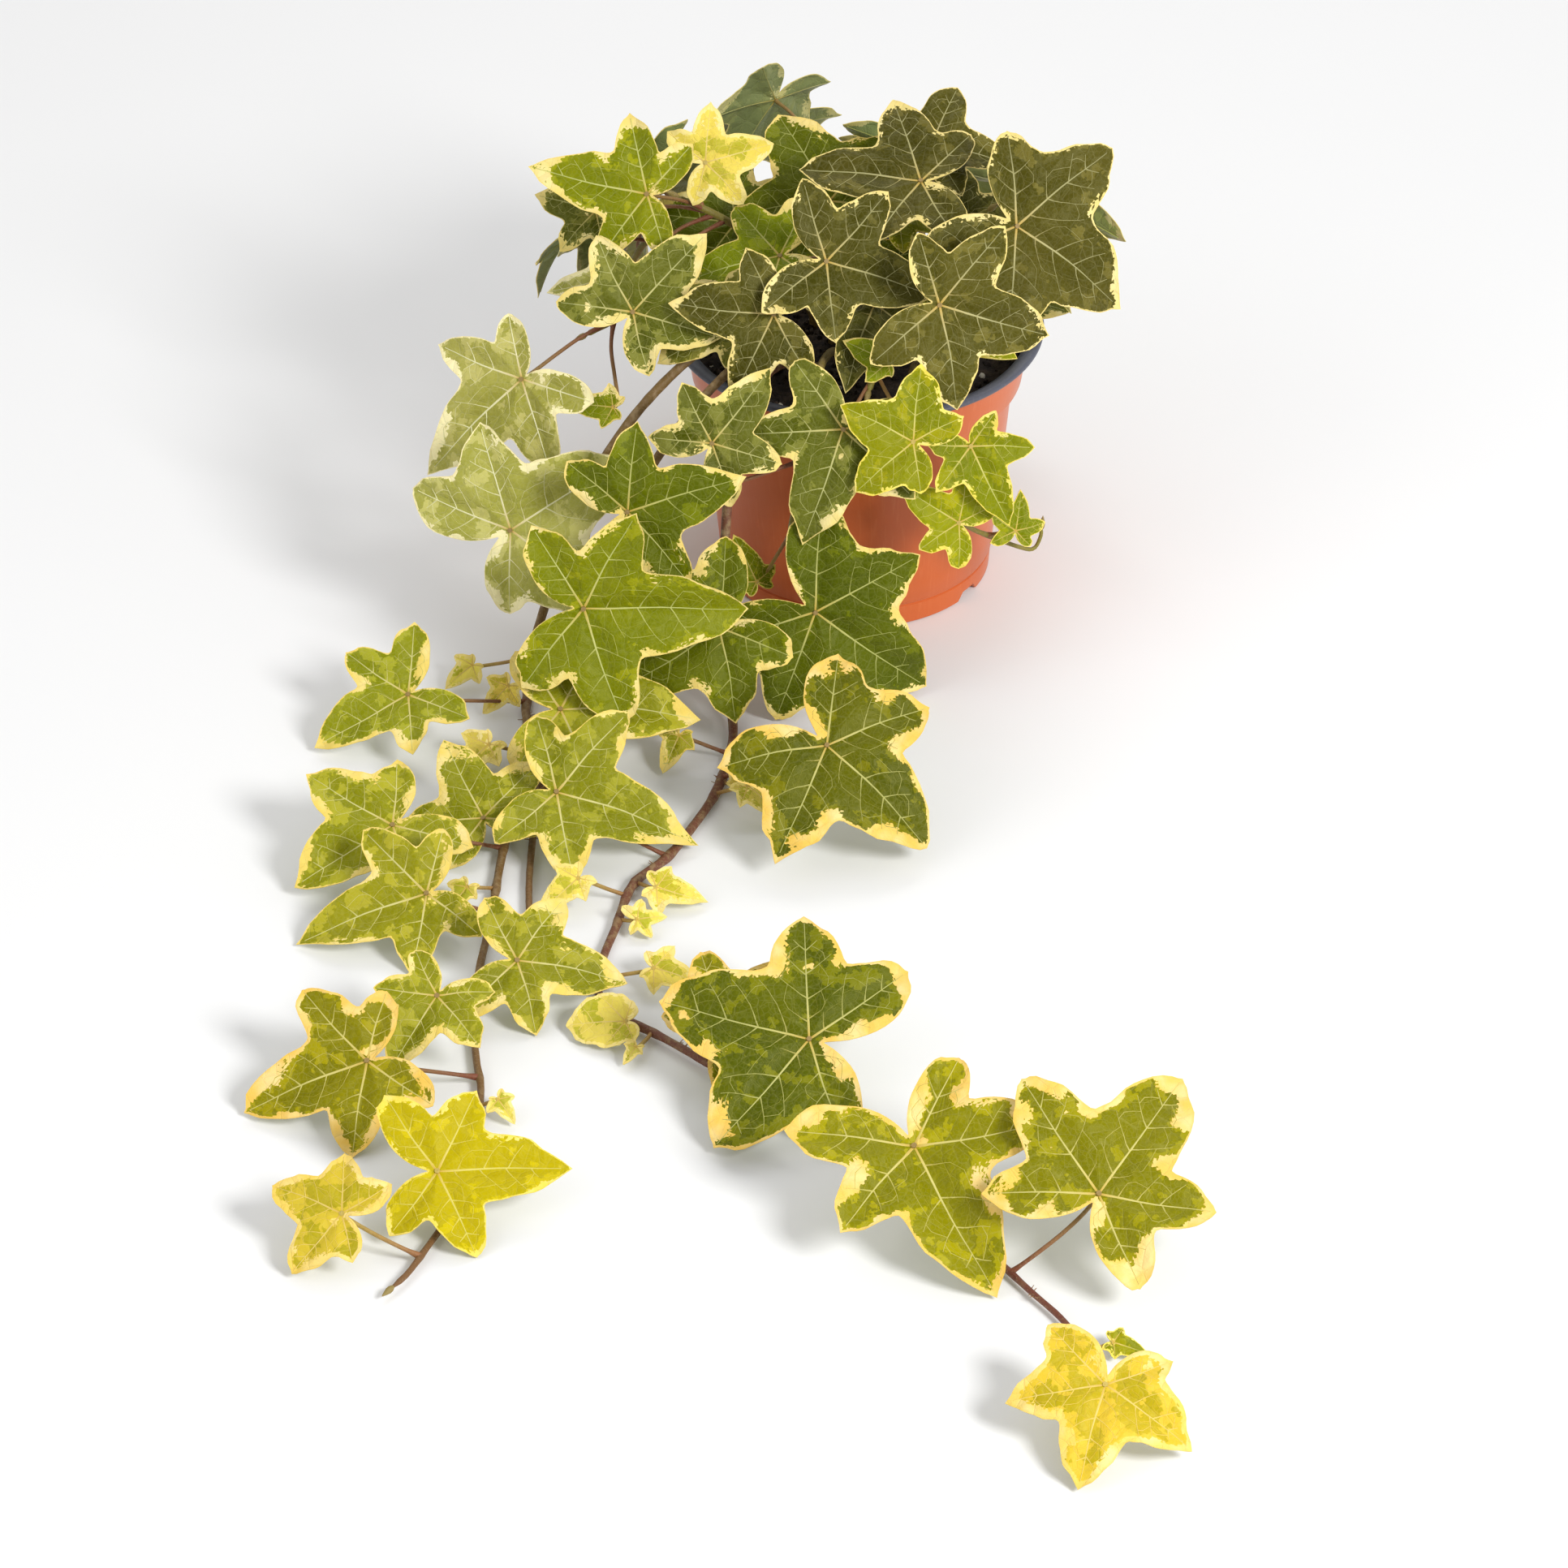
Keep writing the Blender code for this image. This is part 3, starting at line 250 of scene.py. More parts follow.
# Leaves that the picture shows. Columns: name, stem, joint across and down, depth in mm or None
# for a leaf on the ground, way of the middle lobe in degrees from right, its length, its form,
# turn of the face to the right, its tilt upwards in degrees, and its tone.
A, B, C, D = ("trailing_stem_left", "trailing_stem_mid", "trailing_stem_front", "rim_shoot")
LT, LS, CF, CT = ("crown_left_top", "crown_left_side", "crown_front", "crown_top")
CR, RF = ("crown_right", "crown_right_front")
SEEN = (
    ("top_left", LT, 800, 176, -12, 164, 122, Form.LONG, -15, 35, Tone.FRESH),
    ("yellow_back", LT, 858, 172, 8, 18, 75, Form.STAR, 10, 32, Tone.CREAM),
    ("left_upper", LT, 788, 279, -34, 54, 107, Form.STAR, -10, 30, Tone.MOSS),
    ("left_peek", LT, 745, 225, 6, 162, 62, Form.STAR, -20, 35, Tone.MOSS),
    # The grey tone of left_edge, left_wing and left_low holds a painted sheen.
    ("left_edge", LT, 752, 278, -12, 194, 61, Form.ARROW, -25, 62, Tone.GREY_SHEEN),
    ("left_wing", LS, 670, 349, -40, 229, 150, Form.LONG, -20, 28, Tone.GREY_SHEEN),
    ("left_small", LS, 765, 372, -46, 172, 48, Form.ARROW, -10, 45, Tone.FRESH),
    ("centre_left", LS, 921, 268, -42, 173, 107, Form.STAR, 0, 30, Tone.OLIVE),
    ("left_low", A, 659, 478, -70, 36, 144, Form.BROAD, -18, 20, Tone.GREY_SHEEN),
    ("front_low", B, 744, 534, -88, -2, 168, Form.STAR, -5, 18, Tone.FRESH),
    ("front_mid", CF, 803, 443, -72, 19, 125, Form.STAR, -5, 25, Tone.DEEP),
    ("front_high", CF, 868, 392, -66, 54, 85, Form.STAR, 0, 35, Tone.MOSS),
    ("front_deep", CF, 973, 582, -86, -40, 155, Form.BROAD, 6, 16, Tone.DEEP),
    ("front_tiny", CF, 913, 537, -72, 115, 50, Form.ARROW, 0, 25, Tone.SPRING),
    ("top_mid", CT, 984, 213, -38, -21, 118, Form.STAR, 5, 35, Tone.OLIVE),
    ("top_back", CT, 1082, 169, -6, 163, 125, Form.STAR, 0, 66, Tone.OLIVE),
    ("top_flat", CR, 1092, 160, 12, 2, 101, Form.STAR, 10, 68, Tone.OLIVE),
    ("top_right", CR, 1178, 195, -24, -40, 145, Form.BROAD, 20, 35, Tone.OLIVE),
    ("mid_right", CR, 1094, 257, -48, -20, 130, Form.STAR, 10, 30, Tone.OLIVE),
    ("centre_hang", RF, 1002, 353, -70, 254, 121, Form.STAR, -4, 20, Tone.MOSS),
    ("centre_peek", RF, 1047, 297, -58, 149, 50, Form.ARROW, 0, 35, Tone.FRESH),
    ("centre_small", RF, 1072, 353, -80, 150, 82, Form.BROAD, 5, 25, Tone.SPRING),
    ("rim_long", D, 1132, 380, -68, -68, 93, Form.LONG, 12, 20, Tone.SPRING),
    ("rim_star", D, 1121, 465, -72, 145, 73, Form.STAR, 12, 15, Tone.SPRING),
    ("rim_young", D, 1182, 508, -54, 71, 38, Form.STAR, 20, 20, Tone.SPRING),
    ("low_small", A, 656, 636, -92, 235, 38, Form.ARROW, -10, 35, Tone.CREAM),
    ("low_tiny", A, 617, 650, None, 240, 39, Form.ARROW, -10, 57, Tone.CREAM),
    ("foot_star", C, 875, 750, None, 217, 118, Form.BROAD, 0, 32, Tone.DEEP),
    ("foot_small", C, 834, 788, None, 258, 45, Form.ARROW, 0, 59, Tone.PALE),
    ("bend_star", A, 556, 738, None, 226, 109, Form.STAR, -12, 57, Tone.PALE),
    ("bend_tiny", B, 722, 726, None, 290, 24, Form.STAR, 0, 57, Tone.CREAM),
    ("mid_star", B, 740, 792, None, 2, 142, Form.STAR, 8, 57, Tone.PALE),
    ("mid_small_left", A, 640, 800, None, 242, 53, Form.ARROW, -10, 57, Tone.CREAM),
    ("mid_small_right", B, 720, 860, None, 300, 50, Form.ARROW, 0, 57, Tone.CREAM),
    ("left_behind", A, 640, 934, None, 104, 105, Form.STAR, -5, 62, Tone.PALE),
    ("node_long", C, 714, 931, None, -30, 150, Form.LONG, 0, 57, Tone.PALE),
    ("left_star", A, 553, 968, None, 238, 114, Form.BROAD, -10, 59, Tone.PALE),
    ("left_swept", A, 591, 1084, None, 214, 139, Form.LONG, -8, 57, Tone.PALE),
    ("left_chip", A, 628, 1040, None, 250, 35, Form.ARROW, -5, 57, Tone.CREAM),
    ("mid_end", B, 684, 1195, None, -14, 110, Form.STAR, 5, 59, Tone.PALE),
    ("left_tongue", A, 611, 1266, None, 252, 87, Form.STAR, 0, 59, Tone.PALE),
    ("left_cream", A, 548, 1354, None, 216, 130, Form.STAR, -8, 57, Tone.GOLDEN),
    ("bud_spray", A, 672, 1376, None, 290, 30, Form.ARROW, 0, 57, Tone.CREAM),
    ("left_last", A, 622, 1516, None, 6, 124, Form.STAR, 4, 59, Tone.LIME),
    ("left_end", A, 538, 1572, None, 141, 76, Form.BROAD, -10, 57, Tone.STRAW),
    ("front_chip", C, 898, 848, None, 60, 46, Form.ARROW, 8, 57, Tone.CREAM),
    ("front_chip_low", C, 905, 884, None, 300, 50, Form.ARROW, 5, 57, Tone.CREAM),
    ("wide_gold", C, 984, 933, None, -61, 145, Form.BROAD, 8, 55, Tone.GILDED),
    ("node_chip", C, 815, 1034, None, -28, 53, Form.ARROW, 5, 59, Tone.CREAM),
    ("node_tiny", C, 797, 1085, None, 20, 30, Form.STAR, 0, 59, Tone.CREAM),
    ("node_cream", C, 738, 1040, None, 238, 52, Form.ARROW, -5, 57, Tone.CREAM),
    ("turn_small", C, 815, 1175, None, -30, 52, Form.ARROW, 0, 59, Tone.CREAM),
    ("turn_tiny", C, 800, 1290, None, 250, 22, Form.ARROW, 0, 59, Tone.CREAM),
    ("turn_cream", C, 789, 1256, None, 178, 58, Form.OVAL, -10, 59, Tone.CREAM),
    ("run_behind", C, 885, 1306, None, 63, 115, Form.STAR, -5, 60, Tone.GOLDEN),
    ("run_top", C, 965, 1352, None, 152, 153, Form.BROAD, 5, 57, Tone.GILDED),
    ("run_fan", C, 1060, 1534, None, 287, 165, Form.STAR, -5, 59, Tone.GOLDEN),
    ("run_right", C, 1197, 1580, None, 68, 158, Form.STAR, 8, 59, Tone.GOLDEN),
    ("end_umbrella", C, 1223, 1830, None, 262, 98, Form.BROAD, 4, 65, Tone.STRAW),
    ("end_chip", C, 1236, 1722, None, 330, 34, Form.ARROW, 8, 57, Tone.SPRING),
    ("fill_left", CT, 944, 285, -8, 205, 100, Form.STAR, -15, 52, Tone.FRESH),
    ("fill_front", RF, 1034, 306, -28, 262, 96, Form.STAR, 0, 50, Tone.OLIVE),
    ("fill_right", CR, 1092, 292, -26, -35, 98, Form.STAR, 15, 50, Tone.SPRING),
    ("fill_back", CT, 990, 262, 18, 110, 104, Form.BROAD, -5, 62, Tone.DEEP),
    ("fill_back_right", CR, 1118, 270, 20, 30, 100, Form.STAR, 15, 58, Tone.OLIVE),
    ("fill_left_front", LS, 900, 300, -30, 215, 92, Form.LONG, -20, 45, Tone.MOSS),
    ("fill_right_edge", CR, 1156, 300, -6, -10, 92, Form.STAR, 25, 48, Tone.MOSS),
    ("fill_back_left", LT, 890, 262, 20, 150, 100, Form.STAR, -20, 58, Tone.DEEP),
    ("fill_centre", CT, 1020, 275, -2, 290, 90, Form.STAR, 5, 60, Tone.DEEP),
    ("fill_high", CR, 1050, 235, 4, 60, 86, Form.STAR, 5, 66, Tone.SPRING),
)

# Leaves behind the pot: their stems, how many on each, their lengths in mm, seed and tones.
HIDDEN_STEMS = ("crown_back_left", "crown_back", "crown_back_right")
HIDDEN_EACH = 7
HIDDEN_SIZES = (26.0, 42.0)
HIDDEN_SEED = 41
# The grey tone among these holds a painted sheen as well.
HIDDEN_TONES = (Tone.MOSS, Tone.DEEP, Tone.FRESH, Tone.GREY_SHEEN)


def smooth_course(points: Sequence[Vector], step: float) -> list[Vector]:
    """Even points along a smooth curve through the given ones.

    Args:
        points: The points that the curve goes through.
        step: Wanted distance between the points given back, in mm.

    Returns:
        The even points, the first and last of them the given ends.
    """
    ends = [points[0] * 2 - points[1]] + list(points) + [points[-1] * 2 - points[-2]]
    fine = []
    for i in range(1, len(ends) - 2):
        a, b, c, d = ends[i - 1:i + 3]
        for k in range(8):
            t = k / 8.0
            fine.append(0.5 * (2 * b + (c - a) * t + (2 * a - 5 * b + 4 * c - d) * t * t
                               + (3 * b - a - 3 * c + d) * t ** 3))
    fine.append(points[-1].copy())
    total = sum((q - p).length for p, q in zip(fine, fine[1:]))
    count = max(2, round(total / step))
    even, walked, want = [fine[0].copy()], 0.0, total / count
    for p, q in zip(fine, fine[1:]):
        gap = (q - p).length
        while walked + gap >= want and len(even) < count:
            even.append(p.lerp(q, (want - walked) / gap))
            want += total / count
        walked += gap
    even.append(points[-1].copy())
    return even


def stem_course(plan: StemPlan, step: float) -> list[Vector]:
    """Centre line of a stem, from its foot in the soil to its tip.

    Args:
        plan: The stem.
        step: Distance between points, in mm.

    Returns:
        The points, in mm.
    """
    x, y = plan.foot
    line = [Vector((x, y, STEM_OUT))] + [Vector(p) for p in plan.free]
    line += [laid_place(px, py, plan.thick + 0.4) for px, py in plan.laid]
    return [Vector((x, y, STEM_FOOT))] + smooth_course(line, step)


def with_nodes(course: Sequence[Vector]) -> list[Vector]:
    """The same course with even points between, where leaf stalks can start.

    Args:
        course: Points of a stem.

    Returns:
        Those points and NODES_EACH - 1 more in each gap.
    """
    points = []
    for p, q in zip(course, course[1:]):
        points += [p.lerp(q, k / NODES_EACH) for k in range(NODES_EACH)]
    return points + [course[-1]]


def radii_along(count: int, thick: float, thin: float) -> list[float]:
    """Stem radius at each point of its course."""
    return [thick + (thin - thick) * (i / (count - 1)) ** 1.5 for i in range(count)]


@dataclass(frozen=True)
class Bend:
    """How a blade leaves its plane, as parts of its length, and how its lobes differ."""

    fold: float
    droop: float
    wave: float
    phase: float
    sway: tuple

    @classmethod
    def of(cls, leaf: LeafPlan) -> "Bend":
        """The bend of a leaf, drawn from its own seed.

        Args:
            leaf: The leaf.

        Returns:
            Its bend.
        """
        rng = random.Random(leaf.seed * 7 + 3)
        sway = tuple(rng.uniform(-0.15, 0.11) for _ in range(4)) + (rng.uniform(-5.0, 5.0),)
        return cls(rng.uniform(0.02, 0.26), rng.uniform(0.04, 0.26), rng.uniform(0.02, 0.12),
                   rng.uniform(0, math.tau), sway)

    def lobes(self, form: Form) -> list[tuple[float, float, float]]:
        """Length, angle and half tip angle of each lobe of a leaf with this bend.

        Args:
            form: The leaf's form.

        Returns:
            Length as a part of the middle lobe's, and angles in degrees.
        """
        side_r, side_a, low_r, low_a, tip, _ = form.value
        lobes = [(1.0, 0.0, tip)]
        for k, s in enumerate((1.0, -1.0)):
            lobes.append((side_r * (1 + self.sway[k]), s * side_a + self.sway[4], SIDE_TIP))
            lobes.append((low_r * (1 + self.sway[2 + k]), s * low_a + self.sway[4] * 0.5, LOW_TIP))
        return lobes

    def height(self, u: np.ndarray, v: np.ndarray) -> np.ndarray:
        """Height over the leaf's plane at u along and v across the middle vein.

        Args:
            u: Places along the vein, as parts of the leaf's length.
            v: Places across it.

        Returns:
            The heights, as parts of its length.
        """
        r2 = u * u + v * v
        turn = np.arctan2(v, u)
        up = self.fold * (np.sqrt(v * v + 0.002) - 0.045) - self.droop * r2
        return up + self.wave * r2 * np.sin(3.0 * turn + self.phase)

    def radius(self, form: Form, angle: np.ndarray) -> np.ndarray:
        """Distance from the joint to the leaf's edge, as a part of the middle lobe's length.

        Args:
            form: The leaf's form.
            angle: Angles from the middle vein, in degrees.

        Returns:
            The distance at each angle.
        """
        total = np.zeros_like(angle)
        for length, middle, half in self.lobes(form):
            off = np.abs((angle - middle + 180.0) % 360.0 - 180.0)
            edge = length * math.sin(math.radians(half))
            sine = np.maximum(0.001, np.sin(np.radians(off + half)))
            wedge = np.where(off + half < 90.0, edge / sine, edge * sine)
            across = np.maximum(0.001, np.sin(np.radians(np.minimum(off, 90.0))))
            strip = length * form.value[5] / across
            side = (wedge ** -SIDE_SOFTEN + strip ** -SIDE_SOFTEN) ** (-1 / SIDE_SOFTEN)
            total += side ** SOFTEN
        back = 180.0 - np.abs((angle + 180.0) % 360.0 - 180.0)
        notch = 1 - NOTCH_DEPTH * np.exp(-(back / NOTCH_SPREAD) ** 2)
        return total ** (1 / SOFTEN) * notch


def leaf_axes(leaf: LeafPlan) -> tuple[Vector, Vector, Vector]:
    """The leaf's own directions.

    Args:
        leaf: The leaf.

    Returns:
        Unit vectors along the middle vein, across it, and out of the leaf's face.
    """
    n = leaf.normal.normalized()
    along = (leaf.tip_way - n * leaf.tip_way.dot(n)).normalized()
    return along, n.cross(along), n


def edge_angles(leaf: LeafPlan) -> list[float]:
    """Angles at which the plain blade's edge is drawn.

    Args:
        leaf: The leaf. A small one gets fewer.

    Returns:
        Angles from the middle vein, in degrees.
    """
    side_a, low_a = leaf.form.value[1], leaf.form.value[3]
    half = [side_a * 0.49, side_a, (side_a + low_a) * 0.5, low_a, 158.0]
    if leaf.length > SMALL_LEAF:
        half = [13.0, side_a * 0.49, side_a, (side_a + low_a) * 0.5, low_a, low_a + 18.0, 164.0]
    return [0.0] + half + [180.0] + [360.0 - a for a in reversed(half)]


def blade_mesh(leaf: LeafPlan, bend: Bend, thick: float, grow: float = 0.0) -> Mesh:
    """The plain blade, as the part has it, for finding a leaf's place.

    Args:
        leaf: The leaf.
        bend: Its bend.
        thick: Thickness in mm.
        grow: How far the edge stands out beyond the blade's own, in mm.

    Returns:
        Corners and triangles.
    """
    along, across, n = leaf_axes(leaf)
    angles = np.array(edge_angles(leaf))
    r = bend.radius(leaf.form, angles) + grow / leaf.length
    u, v = r * np.cos(np.radians(angles)), r * np.sin(np.radians(angles))
    w = bend.height(u, v)
    rim = [leaf.joint + (along * float(a) + across * float(b) + n * float(c)) * leaf.length
           for a, b, c in zip(u, v, w)]
    count = len(rim)
    half = n * (thick / 2)
    verts = [leaf.joint + half] + [p + half for p in rim]
    verts += [leaf.joint - half] + [p - half for p in rim]
    low = count + 1
    faces = []
    for i in range(count):
        j = (i + 1) % count
        a, b, c, d = 1 + i, 1 + j, low + 1 + i, low + 1 + j
        faces += [(0, a, b), (low, d, c), (a, c, b), (b, c, d)]
    return verts, faces


def tube_mesh(course: Sequence[Vector], radii: Sequence[float], sides: int) -> Mesh:
    """A closed tube along a course.

    Args:
        course: Its centre line.
        radii: Its radius at each point.
        sides: Corners round it.

    Returns:
        Corners and faces.
    """
    verts, faces = [], []
    side = None
    for i, p in enumerate(course):
        ahead = course[min(i + 1, len(course) - 1)] - course[max(i - 1, 0)]
        ahead.normalize()
        if side is None:
            side = ahead.orthogonal().normalized()
        side = (side - ahead * side.dot(ahead)).normalized()
        other = ahead.cross(side)
        for k in range(sides):
            turn = math.tau * k / sides
            verts.append(p + (side * math.cos(turn) + other * math.sin(turn)) * radii[i])
    for i in range(len(course) - 1):
        for k in range(sides):
            a, b = i * sides + k, i * sides + (k + 1) % sides
            faces += [(a, b, b + sides), (a, b + sides, a + sides)]
    last = (len(course) - 1) * sides
    for k in range(1, sides - 1):
        faces += [(0, k + 1, k), (last, last + k, last + k + 1)]
    return verts, faces


def petiole_course(leaf: LeafPlan, course: Sequence[Vector]) -> list[Vector]:
    """Course of a leaf's stalk, from inside its stem to the joint under the blade.

    Args:
        leaf: The leaf.
        course: Its stem, with the points where stalks can start.

    Returns:
        Points of the stalk.
    """
    along, _, n = leaf_axes(leaf)
    near = min(range(FIRST_NODE, len(course)), key=lambda i: (course[i] - leaf.joint).length)
    away = (course[near] - leaf.joint).length
    back = near
    while back > FIRST_NODE and (course[near] - course[back]).length < 0.35 * away:
        back -= 1
    after = course[min(back + 1, len(course) - 1)]
    start = course[back].lerp(after, 0.08 + 0.17 * (leaf.seed % 6))
    ahead = (after - course[back - 1]).normalized()
    reach = (leaf.joint - start).length
    way = ((leaf.joint - start).normalized() + ahead * 0.35 + Vector((0, 0, 0.25))).normalized()
    p1 = start + way * reach * 0.4
    p2 = leaf.joint - n * reach * 0.3 - along * reach * 0.12
    count = 4 if reach > 22 else 3
    line = []
    for i in range(count):
        t = i / count
        s = 1 - t
        line.append(start * s ** 3 + p1 * (3 * s * s * t) + p2 * (3 * s * t * t)
                    + leaf.joint * t ** 3)
    line += [leaf.joint - n * min(1.6, reach * 0.1), leaf.joint - n * 0.05]
    for p in line[1:]:
        p.z = max(p.z, PETIOLE_R + 0.5)
    return line


def solid_of(verts: Sequence[Vector], faces: Sequence[tuple[int, ...]]) -> Solid:
    """Search tree and box of a solid, for finding what crosses it.

    Args:
        verts: Its corners.
        faces: Its faces.

    Returns:
        The tree, and the box's low and high corners.
    """
    low = Vector([min(v[k] for v in verts) for k in range(3)])
    high = Vector([max(v[k] for v in verts) for k in range(3)])
    return BVHTree.FromPolygons(verts, faces), low, high


def crosses(one: Solid, other: Solid) -> bool:
    """Whether two solids' surfaces meet.

    Args:
        one: A solid.
        other: Another one.

    Returns:
        True if they do.
    """
    for k in range(3):
        if one[1][k] > other[2][k] or other[1][k] > one[2][k]:
            return False
    return bool(one[0].overlap(other[0]))


def turned_mesh(outline: Sequence[tuple[float, float]], sides: int) -> Mesh:
    """A solid turned about Z.

    Args:
        outline: Radius and height of its corners. It starts and ends on the axis.
        sides: Corners round it.

    Returns:
        Corners and faces.
    """
    verts, rows = [], []
    for r, z in outline:
        if r == 0.0:
            rows.append([len(verts)] * sides)
            verts.append(Vector((0, 0, z)))
            continue
        rows.append(list(range(len(verts), len(verts) + sides)))
        for k in range(sides):
            turn = math.tau * k / sides
            verts.append(Vector((r * math.cos(turn), r * math.sin(turn), z)))
    faces = []
    for low, high in zip(rows, rows[1:]):
        for k in range(sides):
            j = (k + 1) % sides
            faces.append(tuple(dict.fromkeys([low[k], low[j], high[j], high[k]])))
    return verts, faces


@dataclass(frozen=True)
class PotSizes:
    """Heights and radii of the pot, in mm."""

    sides: int = 40
    foot_r: float = 43.9
    foot_inner_r: float = 41.2
    foot_h: float = 7.4
    foot_groove: float = 0.7
    body_low_r: float = 44.7
    body_top_r: float = 50.3
    band_z: float = 71.0
    band_low_r: float = 53.3
    band_top_r: float = 55.6
    lip_r: float = 60.0
    lip_z: float = 86.9
    top_z: float = 89.0
    wall: float = 1.35
    floor_low: float = 3.6
    floor_top: float = 5.2
    notches: int = 8
    notch_turn: float = -34.0
    notch_low_w: float = 11.0
    notch_top_w: float = 6.0
    notch_h: float = 3.1
    drains: int = 6
    drain_r: float = 3.6
    drain_ring_r: float = 26.0

    def outline(self) -> list[tuple[float, float]]:
        """Closed outline of the pot's wall and floor.

        Returns:
            Radius and height of each corner.
        """
        inner_low, inner_top = self.band_low_r - self.wall, self.band_top_r - self.wall
        return [
            (0.0, self.floor_low), (self.foot_inner_r - 0.6, self.floor_low),
            (self.foot_inner_r, self.floor_low - 0.6), (self.foot_inner_r, 0.0),
            (self.foot_r, 0.0), (self.foot_r + 0.5, self.foot_h - 0.6),
            (self.body_low_r - self.foot_groove, self.foot_h),
            (self.body_low_r, self.foot_h + 0.9),
            (self.body_top_r, self.band_z - 1.6), (self.body_top_r + 0.5, self.band_z - 0.5),
            (self.band_low_r - 0.5, self.band_z), (self.band_low_r, self.band_z + 0.6),
            (self.band_top_r, self.lip_z), (self.lip_r - 0.5, self.lip_z + 0.5),
            (self.lip_r, self.lip_z + 1.2), (self.lip_r - 0.9, self.top_z),
            (self.band_top_r + 1.2, self.top_z - 0.2), (inner_top, self.lip_z - 0.8),
            (inner_low, self.band_z + 1.2), (self.body_top_r - self.wall, self.band_z - 1.2),
            (self.body_low_r - self.wall, self.floor_top + 1.0),
            (self.body_low_r - self.wall - 1.0, self.floor_top), (0.0, self.floor_top),
        ]


@dataclass(frozen=True)
class SoilSizes:
    """Heights and clearances of the soil, in mm."""

    sides: int = 24
    gap: float = 0.3
    edge_z: float = 76.0
    rise: float = 2.6

    def outline(self, pot: PotSizes) -> list[tuple[float, float]]:
        """Outline of the soil, a hair inside the pot's wall and floor.

        Args:
            pot: The pot.

        Returns:
            Radius and height of each corner.
        """
        side = (pot.body_top_r - pot.body_low_r) / (pot.band_z - 1.6 - pot.foot_h)
        wall_low = pot.body_low_r - pot.wall
        top_r = pot.band_low_r - pot.wall - self.gap - 0.1
        return [
            (0.0, pot.floor_top + self.gap), (wall_low - 1.5, pot.floor_top + self.gap),
            (wall_low - self.gap - 0.15, pot.floor_top + 1.6),
            (wall_low - self.gap - 0.2 + side * (pot.band_z - pot.floor_top - 3.2),
             pot.band_z - 1.0),
            (top_r, pot.band_z + 1.7), (top_r + 0.35, self.edge_z),
            (44.0, self.edge_z + self.rise * 0.5), (30.0, self.edge_z + self.rise * 0.8),
            (14.0, self.edge_z + self.rise), (0.0, self.edge_z + self.rise),
        ]


def face_normal(turn: float, tilt: float) -> Vector:
    """Way a leaf faces: towards the viewer, turned right and tilted up by so many degrees."""
    turn, tilt = math.radians(turn), math.radians(tilt)
    return Vector((math.sin(turn) * math.cos(tilt), -math.cos(turn) * math.cos(tilt),
                   math.sin(tilt)))


